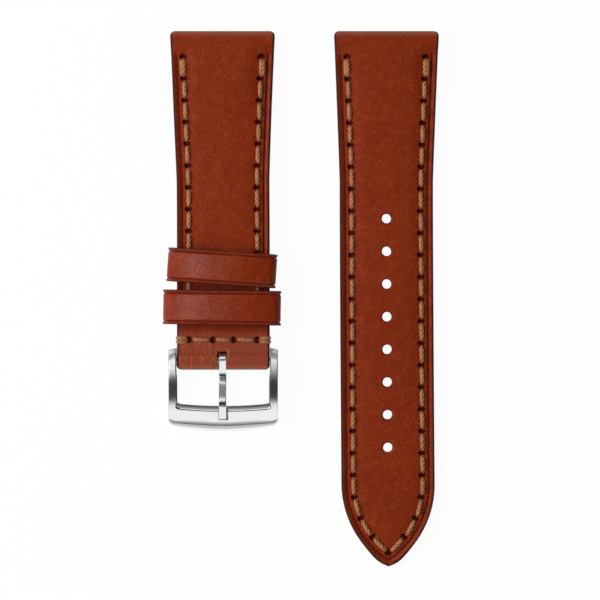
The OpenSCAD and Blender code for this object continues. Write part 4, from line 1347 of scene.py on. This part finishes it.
def makeStudio():
    world = bpy.data.worlds.new("studio")
    world.use_nodes = True
    tree = world.node_tree
    strength = between(tree, whiteRays(tree), 0, 1, 0.27, 1.0)
    plug(tree, tree.nodes["Background"], {"Color": (1, 1, 1, 1), "Strength": strength})
    bpy.context.scene.world = world

    material, tree, shader = newMaterial("whiteFloor")
    plug(tree, shader, {"Base Color": (0.85, 0.85, 0.85, 1), "Roughness": 1, "Specular IOR Level": 0})
    glow = add(tree, "ShaderNodeEmission", {"Color": (1, 1, 1, 1), "Strength": 1.0}).outputs[0]
    share = summed(tree, "MULTIPLY", whiteRays(tree), 0.95)
    both = add(tree, "ShaderNodeMixShader", {0: share, 1: shader.outputs[0], 2: glow}).outputs[0]
    tree.links.new(both, tree.nodes["Material Output"].inputs["Surface"])
    mesh = bmesh.new()
    bmesh.ops.create_grid(mesh, x_segments=1, y_segments=1, size=1.2)
    staged("floor", mesh, material, -0.0002)

    key = softbox("keySoftbox", (-0.48, 0.06, 0.44), (0, 0, 0), 0.6, 0.6, 4.8)
    key.visible_glossy = False
    softbox("overheadStrip", (-0.18, 0.025, 0.54), (-0.02, 0.025, 0), 0.17, 0.08, 0.34)
    for name, low, high, dim, bright in studioCards:
        shadedCard(name, low, high, dim, bright)


# Cards seen only in reflections: two corners, and how bright the near and the far edge are
studioCards = [
    ("overheadCard", (-0.35, -0.27, 0.55), (-0.016, -0.052, 0.55), 0.02, 0.02),
    ("overheadFadeCard", (-0.11, -0.052, 0.55), (-0.016, 0.018, 0.55), 0.02, 1.0),
    ("overheadRightCard", (-0.016, -0.26, 0.55), (0.7, -0.01, 0.55), 0.02, 0.02),
    ("overheadRightFadeCard", (-0.016, -0.01, 0.55), (0.02, 0.09, 0.55), 0.02, 0.9),
    ("farLeftCard", (-0.35, -0.052, 0.55), (-0.11, 0.25, 0.55), 0.02, 0.02),
    ("farRightCard", (0.02, -0.01, 0.55), (0.7, 0.25, 0.55), 0.02, 0.02),
    ("backGapCard", (-0.11, 0.15, 0.55), (-0.016, 0.25, 0.55), 0.85, 0.5),
    ("backGapRightCard", (-0.016, 0.17, 0.55), (0.02, 0.25, 0.55), 1.0, 0.7),
    ("backHighCard", (-0.35, 0.25, 0.55), (0.7, 0.6, 0.55), 0.5, 0.1),
    ("backCard", (-0.6, 0.6, 0.02), (0.7, 0.6, 0.55), 0.14, 0.08),
    ("rightCard", (0.7, -0.6, 0.02), (0.7, 0.6, 0.55), 0.05, 0.05),
    ("leftLowCard", (-0.7, -0.6, 0.02), (-0.7, 0.6, 0.2), 0.12, 0.25),
    ("leftHighCard", (-0.7, -0.6, 0.2), (-0.7, 0.6, 0.55), 0.25, 0.3),
    ("topLeftCard", (-0.7, -0.27, 0.55), (-0.35, 0.6, 0.55), 0.12, 0.12),
    ("frontCard", (-0.6, -0.6, 0.02), (0.7, -0.6, 0.5), 0.04, 0.75),
    ("frontFloorCard", (-0.3, -0.061, 0.0001), (0.003, -0.031, 0.0001), 0.12, 0.7),
    ("leftEarFloorCard", (-0.06, -0.0102, 0.0001), (-0.0268, 0.01, 0.0001), 0.6, 0.4),
    ("rightEarFloorCard", (-0.0064, -0.0102, 0.0001), (0.006, 0.01, 0.0001), 0.35, 0.25),
]


def shadedCard(name, low, high, dim, bright):
    size, middle = Vector(high) - Vector(low), (Vector(high) + Vector(low)) / 2
    material, tree = newMaterial(name)[:2]
    axis = "Y" if size.z == 0 else "Z"
    place = add(tree, "ShaderNodeSeparateXYZ", {"Vector": objectPoints(tree)}).outputs[axis]
    start, end = (low[1], high[1]) if axis == "Y" else (low[2], high[2])
    strength = between(tree, place, start, end, dim, bright)
    glow = add(tree, "ShaderNodeEmission", {"Color": (1, 1, 1, 1), "Strength": strength}).outputs[0]
    tree.links.new(glow, tree.nodes["Material Output"].inputs["Surface"])
    mesh = bmesh.new()
    bmesh.ops.create_grid(mesh, x_segments=1, y_segments=1, size=0.5)
    if size.y == 0:
        bmesh.ops.rotate(mesh, verts=mesh.verts, matrix=Matrix.Rotation(math.pi / 2, 3, "X"))
    if size.x == 0:
        bmesh.ops.rotate(mesh, verts=mesh.verts, matrix=Matrix.Rotation(math.pi / 2, 3, "Y"))
    bmesh.ops.scale(mesh, vec=[side or 1 for side in size], verts=mesh.verts)
    bmesh.ops.translate(mesh, vec=middle, verts=mesh.verts)
    card = staged(name, mesh, material)
    card.visible_camera = card.visible_diffuse = card.visible_shadow = card.visible_transmission = False


makeCamera()
makeStudio()
waxed = waxedThread()
makeCovers(dyedLeather("strapLeather", 0.09, 0.33, 1.9))
print("covers done")
liningLeather, board = plainLeather(), fibreBoard()
makeInnerLayers(buckleHalf, "buckle", liningLeather, board)
makeInnerLayers(tailHalf, "tail", liningLeather, board)
print("linings and fillers done")
makeSeams(waxed)
makeCrossSeam(waxed)
print("seams done")
makeKeepers(dyedLeather("keeperLeather", 0.28, 0.2, 0.6))
print("keepers done")
makeBuckle(brushedSteel("brushedSteel", 0.86, 0.16, 0.06, 1), brushedSteel("barSteel", 0.7, 0.3, 0.1, 1))
print("buckle done")

view = bpy.context.scene.view_settings
view.view_transform = "Standard"
